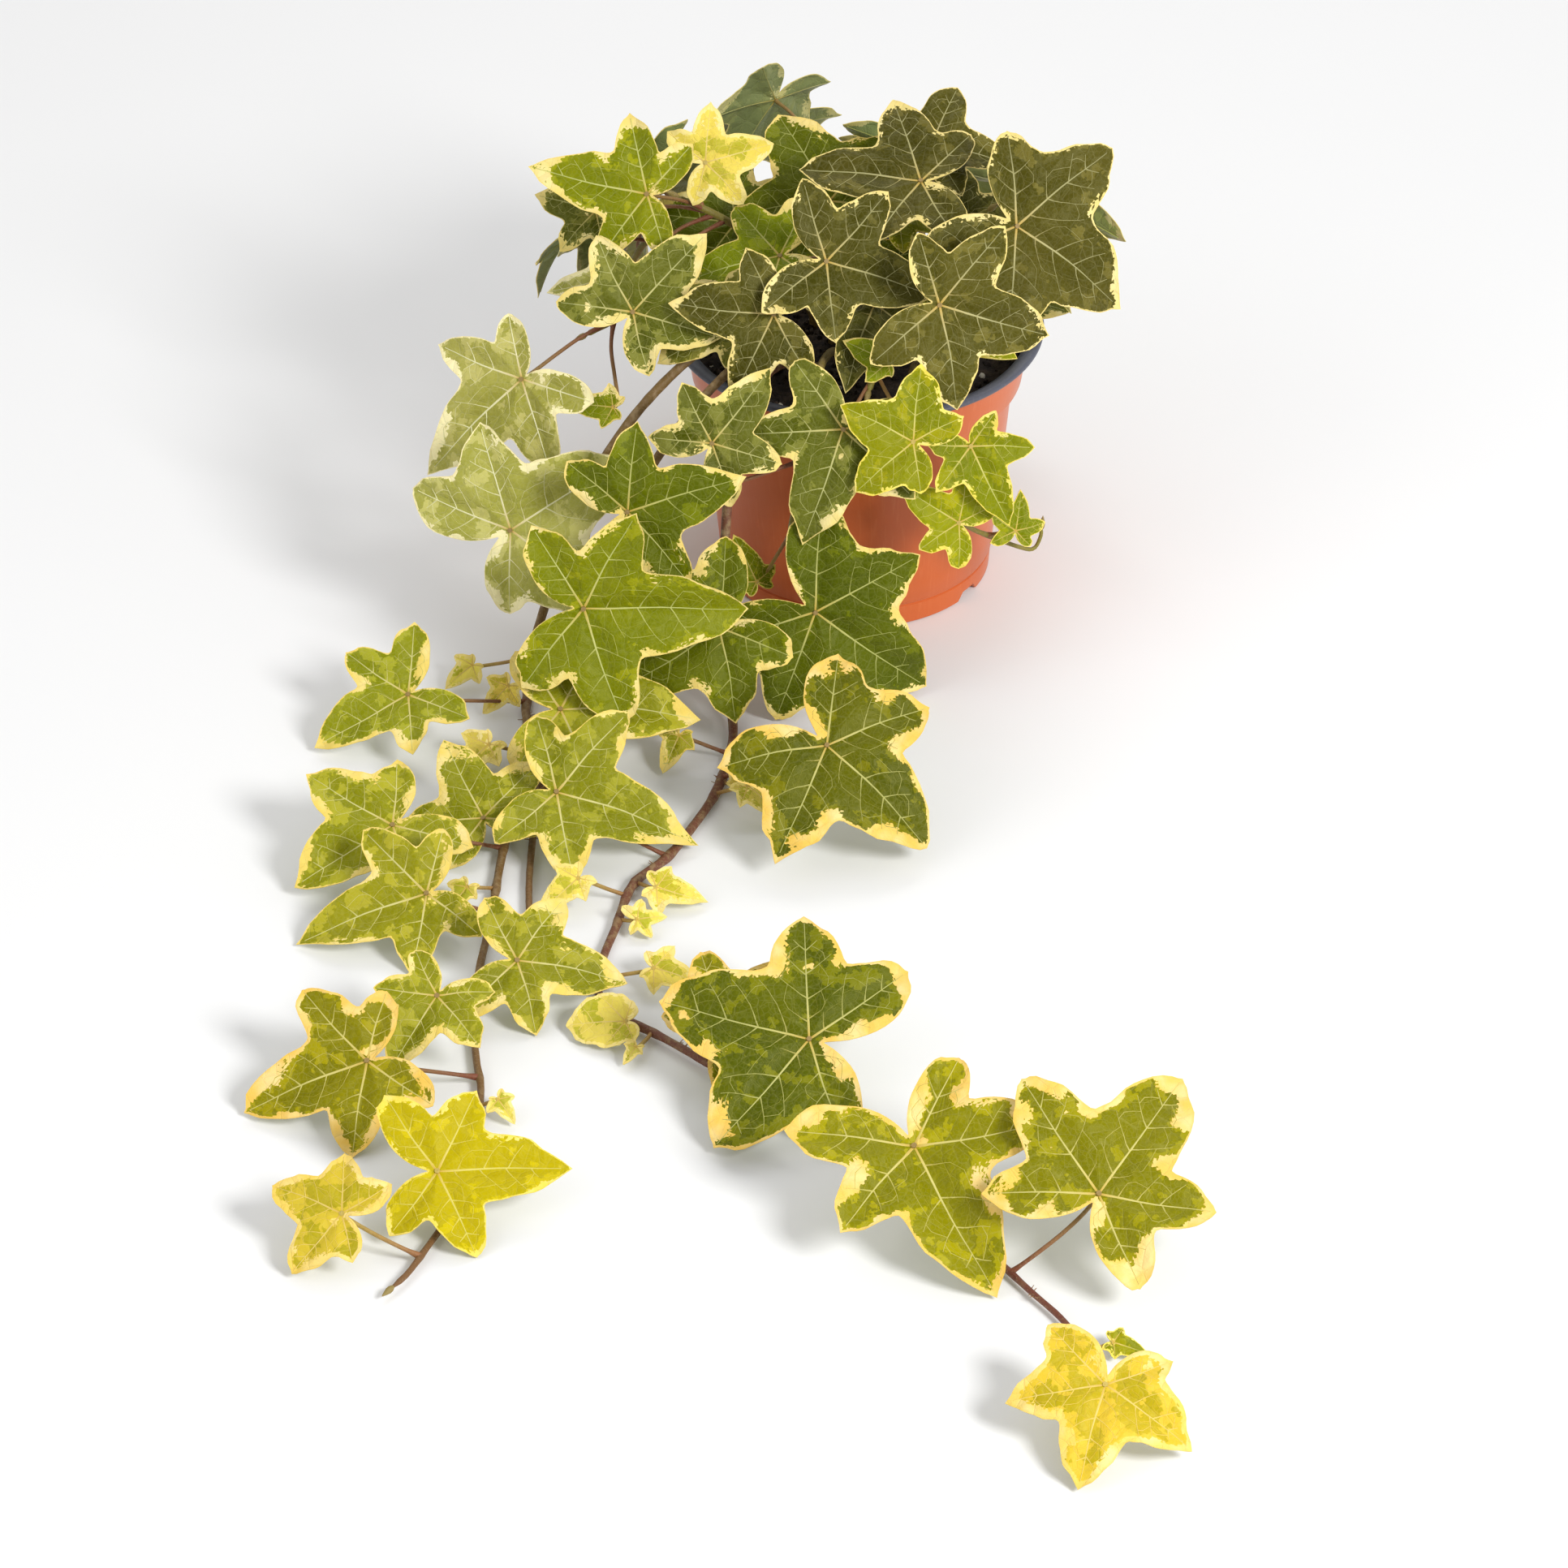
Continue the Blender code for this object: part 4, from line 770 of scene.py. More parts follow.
@dataclass
class PlantPlan:
    """Places every leaf as the part does: first as read, then moved until it clears the rest."""

    pot: PotSizes
    soil: SoilSizes
    courses: dict[str, list[Vector]] = field(default_factory=dict)

    def fixed_solids(self) -> list[tuple[str, str, Solid]]:
        """The pot, the soil and each stem as solids that leaves keep clear of.

        Returns:
            Label, stem and solid of each. The stems' courses are kept.
        """
        pot = self.pot.outline()
        soil = self.soil.outline(self.pot)
        fixed = [("pot", "pot", solid_of(*turned_mesh(pot, self.pot.sides))),
                 ("soil", "soil", solid_of(*turned_mesh(soil, self.soil.sides)))]
        for plan in STEMS:
            course = stem_course(plan, STEM_STEP)
            self.courses[plan.name] = with_nodes(course)
            radii = [r + CLEAR for r in radii_along(len(course), plan.thick, plan.thin)]
            fixed.append((plan.name, plan.name, solid_of(*tube_mesh(course[1:], radii[1:], 6))))
        return fixed

    def picture_leaves(self) -> list[LeafPlan]:
        """Leaves read from the picture.

        Returns:
            The leaves at their read places.
        """
        leaves = []
        for i, row in enumerate(SEEN):
            name, stem, px, py, depth, way, size, form, turn, tilt, tone = row
            n = face_normal(turn, tilt)
            way = math.radians(way)
            flat = Vector((math.cos(way), 0, math.sin(way)))
            seen = (flat - n * flat.dot(n)).length
            laid = depth is None
            length = size * UNIT / (1.0 if laid else max(seen, 0.85))
            joint = laid_place(px, py, 0.0) if laid else read_place(px, py, depth)
            leaves.append(LeafPlan(name, stem, joint, flat, n, length, form, laid, i, tone))
        return leaves

    def hidden_leaves(self) -> list[LeafPlan]:
        """Leaves behind the pot, set by rule along their stems.

        Returns:
            The leaves before they are moved clear.
        """
        rng = random.Random(HIDDEN_SEED)
        leaves = []
        for stem in HIDDEN_STEMS:
            course = self.courses[stem]
            for k in range(HIDDEN_EACH):
                at = int(len(course) * (0.34 + 0.66 * k / (HIDDEN_EACH - 1)))
                node = course[min(at, len(course) - 1)]
                out = Vector((node.x, node.y, 0)).normalized()
                across = Vector((-out.y, out.x, 0)) * (1 if k % 2 else -1)
                joint = node + out * rng.uniform(4, 14) + across * rng.uniform(10, 24)
                joint.z += rng.uniform(4, 16)
                n = (out + across * rng.uniform(-0.1, 0.5)
                     + Vector((0, 0, rng.uniform(0.35, 0.9)))).normalized()
                way = (out * 0.5 + across * rng.uniform(0.1, 0.9)
                       + Vector((0, 0, rng.uniform(-1.0, 0.1)))).normalized()
                size = rng.uniform(*HIDDEN_SIZES) * (1.0 if k < HIDDEN_EACH - 1 else 0.7)
                form = rng.choice((Form.STAR, Form.BROAD, Form.LONG))
                tone = HIDDEN_TONES[len(leaves) % len(HIDDEN_TONES)]
                leaves.append(LeafPlan(f"{stem}_{k}", stem, joint, way, n, size, form, False,
                                       200 + len(leaves), tone))
        return leaves

    @staticmethod
    def trials(leaf: LeafPlan) -> Iterator[LeafPlan]:
        """The leaf as planned, then moved, turned and shrunk a little more each time.

        Args:
            leaf: The leaf as planned.

        Yields:
            The leaf at each trial.
        """
        hung = [(0, 0, 0, 0, 0), (0, 0, 2, 0, 0), (0, 0, 4, 0, 0), (0, 0, 4, 8, 0),
                (0, 0, 4, -8, 0), (3, 0, 6, 0, 8), (-3, 0, 6, 0, -8), (0, 3, 7, 10, 0),
                (0, 0, 10, 0, 0), (0, 3, 10, -10, 0), (4, 0, 10, 12, 8), (-4, 0, 10, 12, -8),
                (0, -3, 14, 0, 0), (0, 3, 14, 14, 0), (5, 0, 14, -12, 8), (-5, 0, 18, 0, -8),
                (0, 0, 18, 14, 12), (0, 0, -3, 0, 0), (0, 0, -6, 8, 0), (0, 5, 22, 0, 0),
                (6, 0, 22, 16, -12), (-6, 5, 26, 10, 0), (0, 0, 30, 0, 10)]
        laid = [(0, 0, 0, 0, 0), (0, 0, 2, 0, 0), (0, -3, 2, 0, 0), (3, 0, 2, 0, 8),
                (-3, 0, 2, 0, -8), (0, -5, 4, 6, 0), (0, 4, 5, 0, 0), (5, -3, 4, 0, 10),
                (-5, -3, 4, 0, -10), (0, -6, 7, 8, 0), (6, 3, 6, 0, 8), (-6, 3, 6, 0, -8),
                (0, 0, 9, 0, 0), (8, 0, 7, 6, 14), (-8, 0, 7, 6, -14), (0, -9, 9, 10, 0),
                (9, -6, 9, 0, 0), (-9, -6, 9, 0, 0), (0, 6, 12, 0, 0), (10, 6, 12, 6, 16),
                (-10, 6, 12, 6, -16), (0, -12, 14, 8, 0), (0, 0, 16, 0, 0)]
        for shrink in (1.0, 0.88, 0.76):
            for right, up, out, tilt, turn in (laid if leaf.laid else hung):
                level = Vector((-leaf.normal.y, leaf.normal.x, 0)).normalized()
                spin = Matrix.Rotation(math.radians(turn), 3, "Z")
                spin = spin @ Matrix.Rotation(math.radians(-tilt), 3, level)
                n = (spin @ leaf.normal).normalized()
                shift = leaf.normal * out + Vector((right, 0, up))
                if leaf.laid:
                    shift = Vector((right, up, out))
                yield replace(leaf, joint=leaf.joint + shift, normal=n,
                              length=leaf.length * shrink)

    @staticmethod
    def raised(leaf: LeafPlan, bend: Bend) -> LeafPlan:
        """The leaf raised so that its lowest corner is just over the ground.

        Args:
            leaf: The leaf.
            bend: Its bend.

        Returns:
            The leaf, raised. One on the ground is also lowered to it.
        """
        rise = 0.0
        if leaf.laid:
            rise = leaf.joint.z
            leaf = replace(leaf, joint=Vector((leaf.joint.x, leaf.joint.y, 0.0)))
        verts, _ = blade_mesh(leaf, bend, BLADE_T)
        short = GROUND_LIFT - min(v.z for v in verts)
        if short > 0 or leaf.laid:
            rise += short
        return replace(leaf, joint=leaf.joint + Vector((0, 0, rise)))

    def settle(self, leaf: LeafPlan, solids: list[tuple[str, str, Solid]]
               ) -> tuple[float, LeafPlan, list[Vector]]:
        """First trial of a leaf that clears everything, or the one that crosses least.

        Args:
            leaf: The leaf as planned.
            solids: Label, stem and solid of everything placed so far.

        Returns:
            How much it still crosses, the settled leaf, and its stalk's course.
        """
        best = None
        bend = Bend.of(leaf)
        for trial in self.trials(leaf):
            shifted = self.raised(trial, bend)
            line = petiole_course(shifted, self.courses[leaf.stem])
            thick = PETIOLE_R + CLEAR
            blade = solid_of(*blade_mesh(shifted, bend, BLADE_T + 2 * CLEAR, CLEAR))
            free = solid_of(*tube_mesh(line[1:-1], [thick] * (len(line) - 2), 4))
            whole = solid_of(*tube_mesh(line, [thick] * len(line), 4))
            score = 0.0
            for label, node, solid in solids:
                own = node == leaf.stem
                stem = label == node
                if crosses(blade, solid):
                    score += OWN_CROSSING if own else OTHER_CROSSING
                if not (own and stem) and crosses(free if own else whole, solid):
                    score += OWN_CROSSING / 2 if own else OTHER_CROSSING
            if best is None or score < best[0]:
                best = (score, shifted, line)
            if score == 0.0:
                break
        return best

    def leaves(self) -> list[tuple[LeafPlan, Bend, list[Vector]]]:
        """Every leaf in its settled place, with its bend and its stalk's course.

        Returns:
            Leaf, bend and stalk of each one that crosses no other stem's pieces.
        """
        solids = self.fixed_solids()
        plan = []
        for leaf in self.picture_leaves() + self.hidden_leaves():
            score, settled, line = self.settle(leaf, solids)
            if score >= OTHER_CROSSING:
                continue
            bend = Bend.of(settled)
            stalk = tube_mesh(line, [PETIOLE_R] * len(line), 4)
            blade = blade_mesh(settled, bend, BLADE_T)
            solids.append((leaf.name, leaf.stem, solid_of(*blade)))
            solids.append((leaf.name + "_stalk", leaf.stem, solid_of(*stalk)))
            plan.append((settled, bend, line))
        return plan


class Nodes:
    """Small helper that lays out a material's nodes."""

    def __init__(self, name: str, roughness: float) -> None:
        """Start a material with one Principled shader.

        Args:
            name: Its name.
            roughness: Its roughness.
        """
        self.mat = bpy.data.materials.new(name)
        self.mat.use_nodes = True
        self.tree = self.mat.node_tree
        self.shader = self.tree.nodes["Principled BSDF"]
        self.shader.inputs["Roughness"].default_value = roughness

    def add(self, kind: str, **values: object) -> bpy.types.Node:
        """Add a node and set its properties and inputs by name.

        Args:
            kind: Type of node.
            values: Value of each property or input.

        Returns:
            The node.
        """
        node = self.tree.nodes.new(kind)
        for key, value in values.items():
            if key in node.inputs:
                node.inputs[key].default_value = value
            else:
                setattr(node, key, value)
        return node

    def link(self, out: bpy.types.NodeSocket, into: bpy.types.NodeSocket) -> None:
        """Join two sockets."""
        self.tree.links.new(out, into)

    def attribute(self, name: str) -> bpy.types.Node:
        """Read a value or colour stored on the mesh."""
        return self.add("ShaderNodeAttribute", attribute_name=name)

    def math(self, operation: str, a: object, b: object) -> bpy.types.NodeSocket:
        """One sum of two values, each a number or a socket.

        Args:
            operation: What is done.
            a: First value.
            b: Second value.

        Returns:
            The result.
        """
        node = self.add("ShaderNodeMath", operation=operation)
        for socket, value in zip(node.inputs, (a, b)):
            if isinstance(value, bpy.types.NodeSocket):
                self.link(value, socket)
            else:
                socket.default_value = value
        return node.outputs[0]

    def times(self, a: object, b: object) -> bpy.types.NodeSocket:
        """Product of two values."""
        return self.math("MULTIPLY", a, b)

    def plus(self, a: object, b: object) -> bpy.types.NodeSocket:
        """Sum of two values."""
        return self.math("ADD", a, b)

    def minus(self, a: object, b: object) -> bpy.types.NodeSocket:
        """One value less another."""
        return self.math("SUBTRACT", a, b)

    def most(self, a: object, b: object) -> bpy.types.NodeSocket:
        """The larger of two values."""
        return self.math("MAXIMUM", a, b)

    def mix(self, share: object, one: object, other: object) -> bpy.types.NodeSocket:
        """Mix two colours, each a colour or a socket, by a share.

        Args:
            share: How much of the second is in it.
            one: First colour.
            other: Second colour.

        Returns:
            The mixed colour.
        """
        node = self.add("ShaderNodeMix", data_type="RGBA")
        for socket, value in zip((node.inputs[0], node.inputs[6], node.inputs[7]),
                                 (share, one, other)):
            if isinstance(value, bpy.types.NodeSocket):
                self.link(value, socket)
            elif isinstance(value, tuple):
                socket.default_value = (*value, 1.0)
            else:
                socket.default_value = value
        return node.outputs[2]

    def ramp(self, value: bpy.types.NodeSocket, low: float, high: float
             ) -> bpy.types.NodeSocket:
        """Rise from 0 to 1 while the value goes from low to high.

        Args:
            value: The value.
            low: Where the rise starts.
            high: Where it ends.

        Returns:
            The result.
        """
        node = self.add("ShaderNodeMapRange", interpolation_type="SMOOTHSTEP")
        node.inputs["From Min"].default_value = low
        node.inputs["From Max"].default_value = high
        self.link(value, node.inputs["Value"])
        return node.outputs["Result"]

    def noise(self, where: bpy.types.NodeSocket, scale: float, detail: float = 3.0
              ) -> bpy.types.NodeSocket:
        """Cloudy noise at a place.

        Args:
            where: The place.
            scale: Clouds to a unit of length.
            detail: How fine they get.

        Returns:
            The noise, 0 to 1.
        """
        node = self.add("ShaderNodeTexNoise", Scale=scale, Detail=detail)
        self.link(where, node.inputs["Vector"])
        return node.outputs["Fac"]

    def bump(self, height: bpy.types.NodeSocket, strength: float, distance: float) -> None:
        """Give the shader a relief from a height.

        Args:
            height: The height.
            strength: How much of it shows.
            distance: Its depth, in metres.
        """
        node = self.add("ShaderNodeBump", Strength=strength, Distance=distance)
        self.link(height, node.inputs["Height"])
        self.link(node.outputs["Normal"], self.shader.inputs["Normal"])


@dataclass(frozen=True)
class LeafFinish:
    """Satin leaf skin: greens in patches, a jagged pale margin and a fine vein net. Each scale is
    that of a noise, in clouds to a millimetre."""

    cell_mm: float = 0.95
    net_mm: float = 5.2
    fine_mm: float = 1.5
    swell_scale: float = 0.085
    second_scale: float = 0.17
    patch_scale: float = 0.13
    small_scale: float = 0.31
    broad_scale: float = 0.045
    least_margin_mm: float = 0.36
    quilt: float = 1.6
    relief_m: float = 0.0003
    light: tuple = (0.98, 0.86, 0.50)
    rich: tuple = (0.80, 0.46, 0.06)
    underside: tuple = (0.30, 0.36, 0.17)
    roughness: float = 0.42

    def make(self) -> bpy.types.Material:
        """Build the material. Its map is in millimetres over each leaf.

        Returns:
            The material.
        """
        n = Nodes("leaf_skin", self.roughness)
        where = n.add("ShaderNodeUVMap", uv_map="UVMap").outputs["UV"]
        rim = n.attribute("rim_mm").outputs["Fac"]
        width = n.attribute("margin_mm").outputs["Fac"]
        hairline = n.attribute("hairline_mm").outputs["Fac"]
        spots = n.attribute("spots").outputs["Fac"]
        under = n.attribute("under").outputs["Fac"]
        deep = n.attribute("deep").outputs["Color"]
        pale = n.attribute("pale").outputs["Color"]
        margin = n.attribute("margin").outputs["Color"]
        vein = n.attribute("vein").outputs["Color"]
        cells = n.add("ShaderNodeTexVoronoi", Scale=1.0 / self.cell_mm)
        n.link(where, cells.inputs["Vector"])
        pick = n.add("ShaderNodeSeparateColor")
        n.link(cells.outputs["Color"], pick.inputs["Color"])
        size = n.add("ShaderNodeVectorMath", operation="SCALE", Scale=self.cell_mm)
        n.link(cells.outputs["Position"], size.inputs[0])
        home = size.outputs[0]

        # Width of the margin: wide and narrow stretches, with a jag from cell to cell.
        swell = n.ramp(n.noise(home, self.swell_scale, 1.0), 0.44, 0.70)
        jag = n.times(n.minus(pick.outputs[0], 0.55), 1.5)
        jag = n.times(jag, n.plus(swell, 0.35))
        reach = n.plus(n.times(width, swell), jag)
        reach = n.most(n.plus(reach, hairline), self.least_margin_mm)
        inside = n.ramp(n.minus(rim, reach), -0.10, 0.10)
        second = n.plus(reach, n.times(width, n.ramp(
            n.noise(home, self.second_scale, 1.0), 0.46, 0.76)))
        near = n.ramp(n.minus(rim, second), -0.05, 0.05)

        # Greens: pale patches near the margin and a few inside, under softer clouds.
        patch = n.plus(n.noise(home, self.patch_scale, 2.0), n.times(spots, 0.24))
        patch = n.minus(patch, n.times(n.ramp(rim, 3.0, 11.0), 0.075))
        patchy = n.ramp(patch, 0.640, 0.650)
        muted = n.most(patchy, n.minus(1.0, near))
        green = n.mix(n.times(muted, 0.85), deep, pale)
        third = n.ramp(n.noise(home, self.small_scale, 1.0), 0.62, 0.63)
        green = n.mix(n.times(third, 0.14), green, pale)
        shade = n.noise(where, 0.9, 5.0)
        green = n.mix(n.times(n.ramp(shade, 0.35, 0.75), 0.16), green, pale)
        broad = n.ramp(n.noise(where, self.broad_scale, 1.0), 0.30, 0.70)
        green = n.mix(n.times(broad, 0.30), green, pale)

        # Margin: cream that goes golden along the very edge.
        edge = n.minus(1.0, n.ramp(rim, 0.2, 1.3))
        light = n.mix(0.45, margin, self.light)
        rich = n.mix(0.22, margin, self.rich)
        margin = n.mix(n.ramp(n.noise(where, 0.12, 2.0), 0.36, 0.70), margin, light)
        margin = n.mix(n.times(edge, 0.45), margin, rich)
        stray = n.plus(n.noise(home, self.patch_scale, 1.0), n.times(spots, 0.2))
        stray = n.ramp(stray, 0.84, 0.85)
        colour = n.mix(n.most(n.minus(1.0, inside), stray), green, margin)

        # Vein net, and the duller underside.
        net = n.add("ShaderNodeTexVoronoi", feature="DISTANCE_TO_EDGE", Scale=1 / self.net_mm)
        fine = n.add("ShaderNodeTexVoronoi", feature="DISTANCE_TO_EDGE", Scale=1 / self.fine_mm)
        n.link(where, net.inputs["Vector"])
        n.link(where, fine.inputs["Vector"])
        net_line = n.minus(1.0, n.ramp(net.outputs["Distance"], 0.008, 0.045))
        fine_line = n.minus(1.0, n.ramp(fine.outputs["Distance"], 0.02, 0.12))
        colour = n.mix(n.times(net_line, 0.06), colour, vein)
        colour = n.mix(n.times(fine_line, 0.05), colour, vein)
        dull = n.mix(0.55, colour, self.underside)
        colour = n.mix(under, colour, dull)
        n.link(colour, n.shader.inputs["Base Color"])

        # Relief: the net sunk, the skin puffed between its lines.
        low = n.plus(n.times(net_line, -0.5), n.times(fine_line, -0.2))
        quilt = n.times(n.ramp(net.outputs["Distance"], 0.0, 0.42), self.quilt)
        low = n.plus(low, quilt)
        n.bump(n.plus(low, n.times(shade, 0.3)), 0.6, self.relief_m)
        n.shader.inputs["Specular IOR Level"].default_value = 0.16
        n.shader.inputs["Specular Tint"].default_value = (1.0, 0.96, 0.55, 1.0)
        n.shader.inputs["Subsurface Weight"].default_value = 0.06
        n.shader.inputs["Subsurface Radius"].default_value = (0.0012, 0.0016, 0.0004)
        return n.mat


@dataclass(frozen=True)
class VeinFinish:
    """Pale raised veins, coloured leaf by leaf."""

    roughness: float = 0.45

    def make(self) -> bpy.types.Material:
        """Build the material.

        Returns:
            The material.
        """
        n = Nodes("leaf_veins", self.roughness)
        where = n.add("ShaderNodeUVMap", uv_map="UVMap").outputs["UV"]
        vein = n.attribute("vein").outputs["Color"]
        pale = n.attribute("pale").outputs["Color"]
        faint = n.attribute("under").outputs["Fac"]
        share = n.plus(faint, n.times(n.noise(where, 0.6), 0.2))
        n.link(n.mix(share, vein, pale), n.shader.inputs["Base Color"])
        n.shader.inputs["Specular IOR Level"].default_value = 0.2
        return n.mat


@dataclass(frozen=True)
class BarkFinish:
    """Stem and stalk skin: green over red-brown, with corky flecks along it."""

    blotch_scale: float = 420.0
    streak_scale: float = 1500.0
    dark: tuple = (0.16, 0.075, 0.035)
    brown: tuple = (0.30, 0.20, 0.09)
    fleck: tuple = (0.40, 0.28, 0.13)
    roughness: float = 0.55

    def make(self) -> bpy.types.Material:
        """Build the material.

        Returns:
            The material.
        """
        n = Nodes("stem_skin", self.roughness)
        where = n.add("ShaderNodeNewGeometry").outputs["Position"]
        tint = n.attribute("tint").outputs["Color"]
        woody = n.attribute("woody").outputs["Fac"]
        blotch = n.ramp(n.noise(where, self.blotch_scale, 4.0), 0.40, 0.66)
        streak = n.ramp(n.noise(where, self.streak_scale, 2.0), 0.52, 0.72)
        brown = n.mix(blotch, self.dark, self.brown)
        colour = n.mix(n.times(woody, n.plus(0.35, blotch)), tint, brown)
        colour = n.mix(n.times(streak, 0.30), colour, self.fleck)
        n.link(colour, n.shader.inputs["Base Color"])
        n.bump(n.plus(blotch, streak), 0.5, 0.00025)
        return n.mat


@dataclass(frozen=True)
class PlasticFinish:
    """Moulded pot plastic with a faint grain and draw marks."""

    name: str
    colour: tuple
    worn: tuple
    roughness: float
    draw_scale: tuple = (900.0, 900.0, 28.0)
    cloud_scale: float = 45.0
    grain_scale: float = 5200.0

    def make(self) -> bpy.types.Material:
        """Build the material.

        Returns:
            The material.
        """
        n = Nodes(self.name, self.roughness)
        where = n.add("ShaderNodeNewGeometry").outputs["Position"]
        stretch = n.add("ShaderNodeMapping")
        stretch.inputs["Scale"].default_value = self.draw_scale
        n.link(where, stretch.inputs["Vector"])
        drawn = n.noise(stretch.outputs["Vector"], 1.0, 2.0)
        cloud = n.noise(where, self.cloud_scale, 3.0)
        grain = n.noise(where, self.grain_scale, 2.0)
        share = n.plus(n.times(n.ramp(drawn, 0.5, 0.8), 0.35),
                       n.times(cloud, 0.35))
        n.link(n.mix(share, self.colour, self.worn), n.shader.inputs["Base Color"])
        rough = n.plus(self.roughness - 0.06, n.times(cloud, 0.14))
        n.link(rough, n.shader.inputs["Roughness"])
        n.bump(n.plus(grain, n.times(drawn, 0.6)), 0.14, 0.0002)
        n.shader.inputs["Specular IOR Level"].default_value = 0.4
        return n.mat


TERRACOTTA = PlasticFinish("terracotta_plastic", srgb(206, 98, 44), srgb(220, 122, 70), 0.32)
SLATE = PlasticFinish("slate_plastic", srgb(84, 86, 98), srgb(112, 114, 126), 0.42)


@dataclass(frozen=True)
class SoilFinish:
    """Dark damp potting compost with paler fibres."""

    clod_scale: float = 260.0
    fibre_scale: float = 1300.0
    dark: tuple = (0.016, 0.010, 0.007)
    brown: tuple = (0.060, 0.038, 0.024)
    fibre: tuple = (0.16, 0.10, 0.06)
    roughness: float = 0.95

    def make(self) -> bpy.types.Material:
        """Build the material.

        Returns:
            The material.
        """
        n = Nodes("compost", self.roughness)
        where = n.add("ShaderNodeNewGeometry").outputs["Position"]
        tint = n.attribute("tint").outputs["Color"]
        clod = n.ramp(n.noise(where, self.clod_scale, 5.0), 0.38, 0.68)
        fibre = n.ramp(n.noise(where, self.fibre_scale, 3.0), 0.60, 0.72)
        colour = n.mix(clod, self.dark, self.brown)
        colour = n.mix(n.times(fibre, 0.5), colour, self.fibre)
        bright = n.attribute("grit").outputs["Fac"]
        n.link(n.mix(bright, colour, tint), n.shader.inputs["Base Color"])
        n.bump(n.plus(clod, fibre), 0.8, 0.0006)
        return n.mat


@dataclass
class FineMesh:
    """Collects corners, faces and stored values of one piece, in mm, and makes its object."""

    name: str
    verts: list = field(default_factory=list)
    faces: list = field(default_factory=list)
    materials: list = field(default_factory=list)
    uvs: list = field(default_factory=list)
    values: dict = field(default_factory=dict)

    def add(self, verts: Sequence, faces: Sequence[tuple[int, ...]], material: int = 0,
            uvs: Sequence | None = None, **values: object) -> None:
        """Add one solid.

        Args:
            verts: Its corners, in mm.
            faces: Its faces.
            material: Index of its material.
            uvs: A map place for each corner.
            values: For each stored value, one number or colour, or a list with one per corner.
        """
        base = len(self.verts)
        self.verts += [tuple(v) for v in verts]
        self.faces += [tuple(base + int(i) for i in face) for face in faces]
        self.materials += [material] * len(faces)
        self.uvs += [tuple(p) for p in uvs] if uvs is not None else [(0.0, 0.0)] * len(verts)
        for key, value in values.items():
            same = isinstance(value, (int, float, tuple))
            self.values.setdefault(key, []).extend([value] * len(verts) if same else list(value))

    def make(self, shift: Vector, finishes: Sequence[bpy.types.Material], sharp: float
             ) -> bpy.types.Object:
        """Make the object, in metres, where the frame's pot stands.

        Args:
            shift: Place of the pot's axis, in metres.
            finishes: Its materials.
            sharp: Degrees over which an edge stays sharp.

        Returns:
            The object.
        """
        mesh = bpy.data.meshes.new(self.name)
        places = np.array(self.verts, dtype=float) * MM + np.array(shift)
        mesh.from_pydata(places.tolist(), [], self.faces)
        for finish in finishes:
            mesh.materials.append(finish)
        mesh.polygons.foreach_set("material_index", self.materials)
        layer = mesh.uv_layers.new(name="UVMap")
        corner = np.zeros(len(mesh.loops), dtype=np.int32)
        mesh.loops.foreach_get("vertex_index", corner)
        layer.uv.foreach_set("vector", np.array(self.uvs, dtype=float)[corner].ravel())
        for key, stored in self.values.items():
            numbers = np.array(stored, dtype=float)
            if numbers.ndim == 1:
                made = mesh.attributes.new(key, "FLOAT", "POINT")
                made.data.foreach_set("value", numbers)
            else:
                full = np.ones((len(numbers), 4))
                full[:, :3] = numbers
                made = mesh.attributes.new(key, "FLOAT_COLOR", "POINT")
                made.data.foreach_set("color", full.ravel())
        mesh.validate()
        mesh.shade_smooth()
        mesh.set_sharp_from_angle(angle=math.radians(sharp))
        ob = bpy.data.objects.new(self.name, mesh)
        bpy.context.scene.collection.objects.link(ob)
        return ob


# Colour of the veins where they meet over the stalk.
VEIN_HUB = srgb(206, 168, 72)


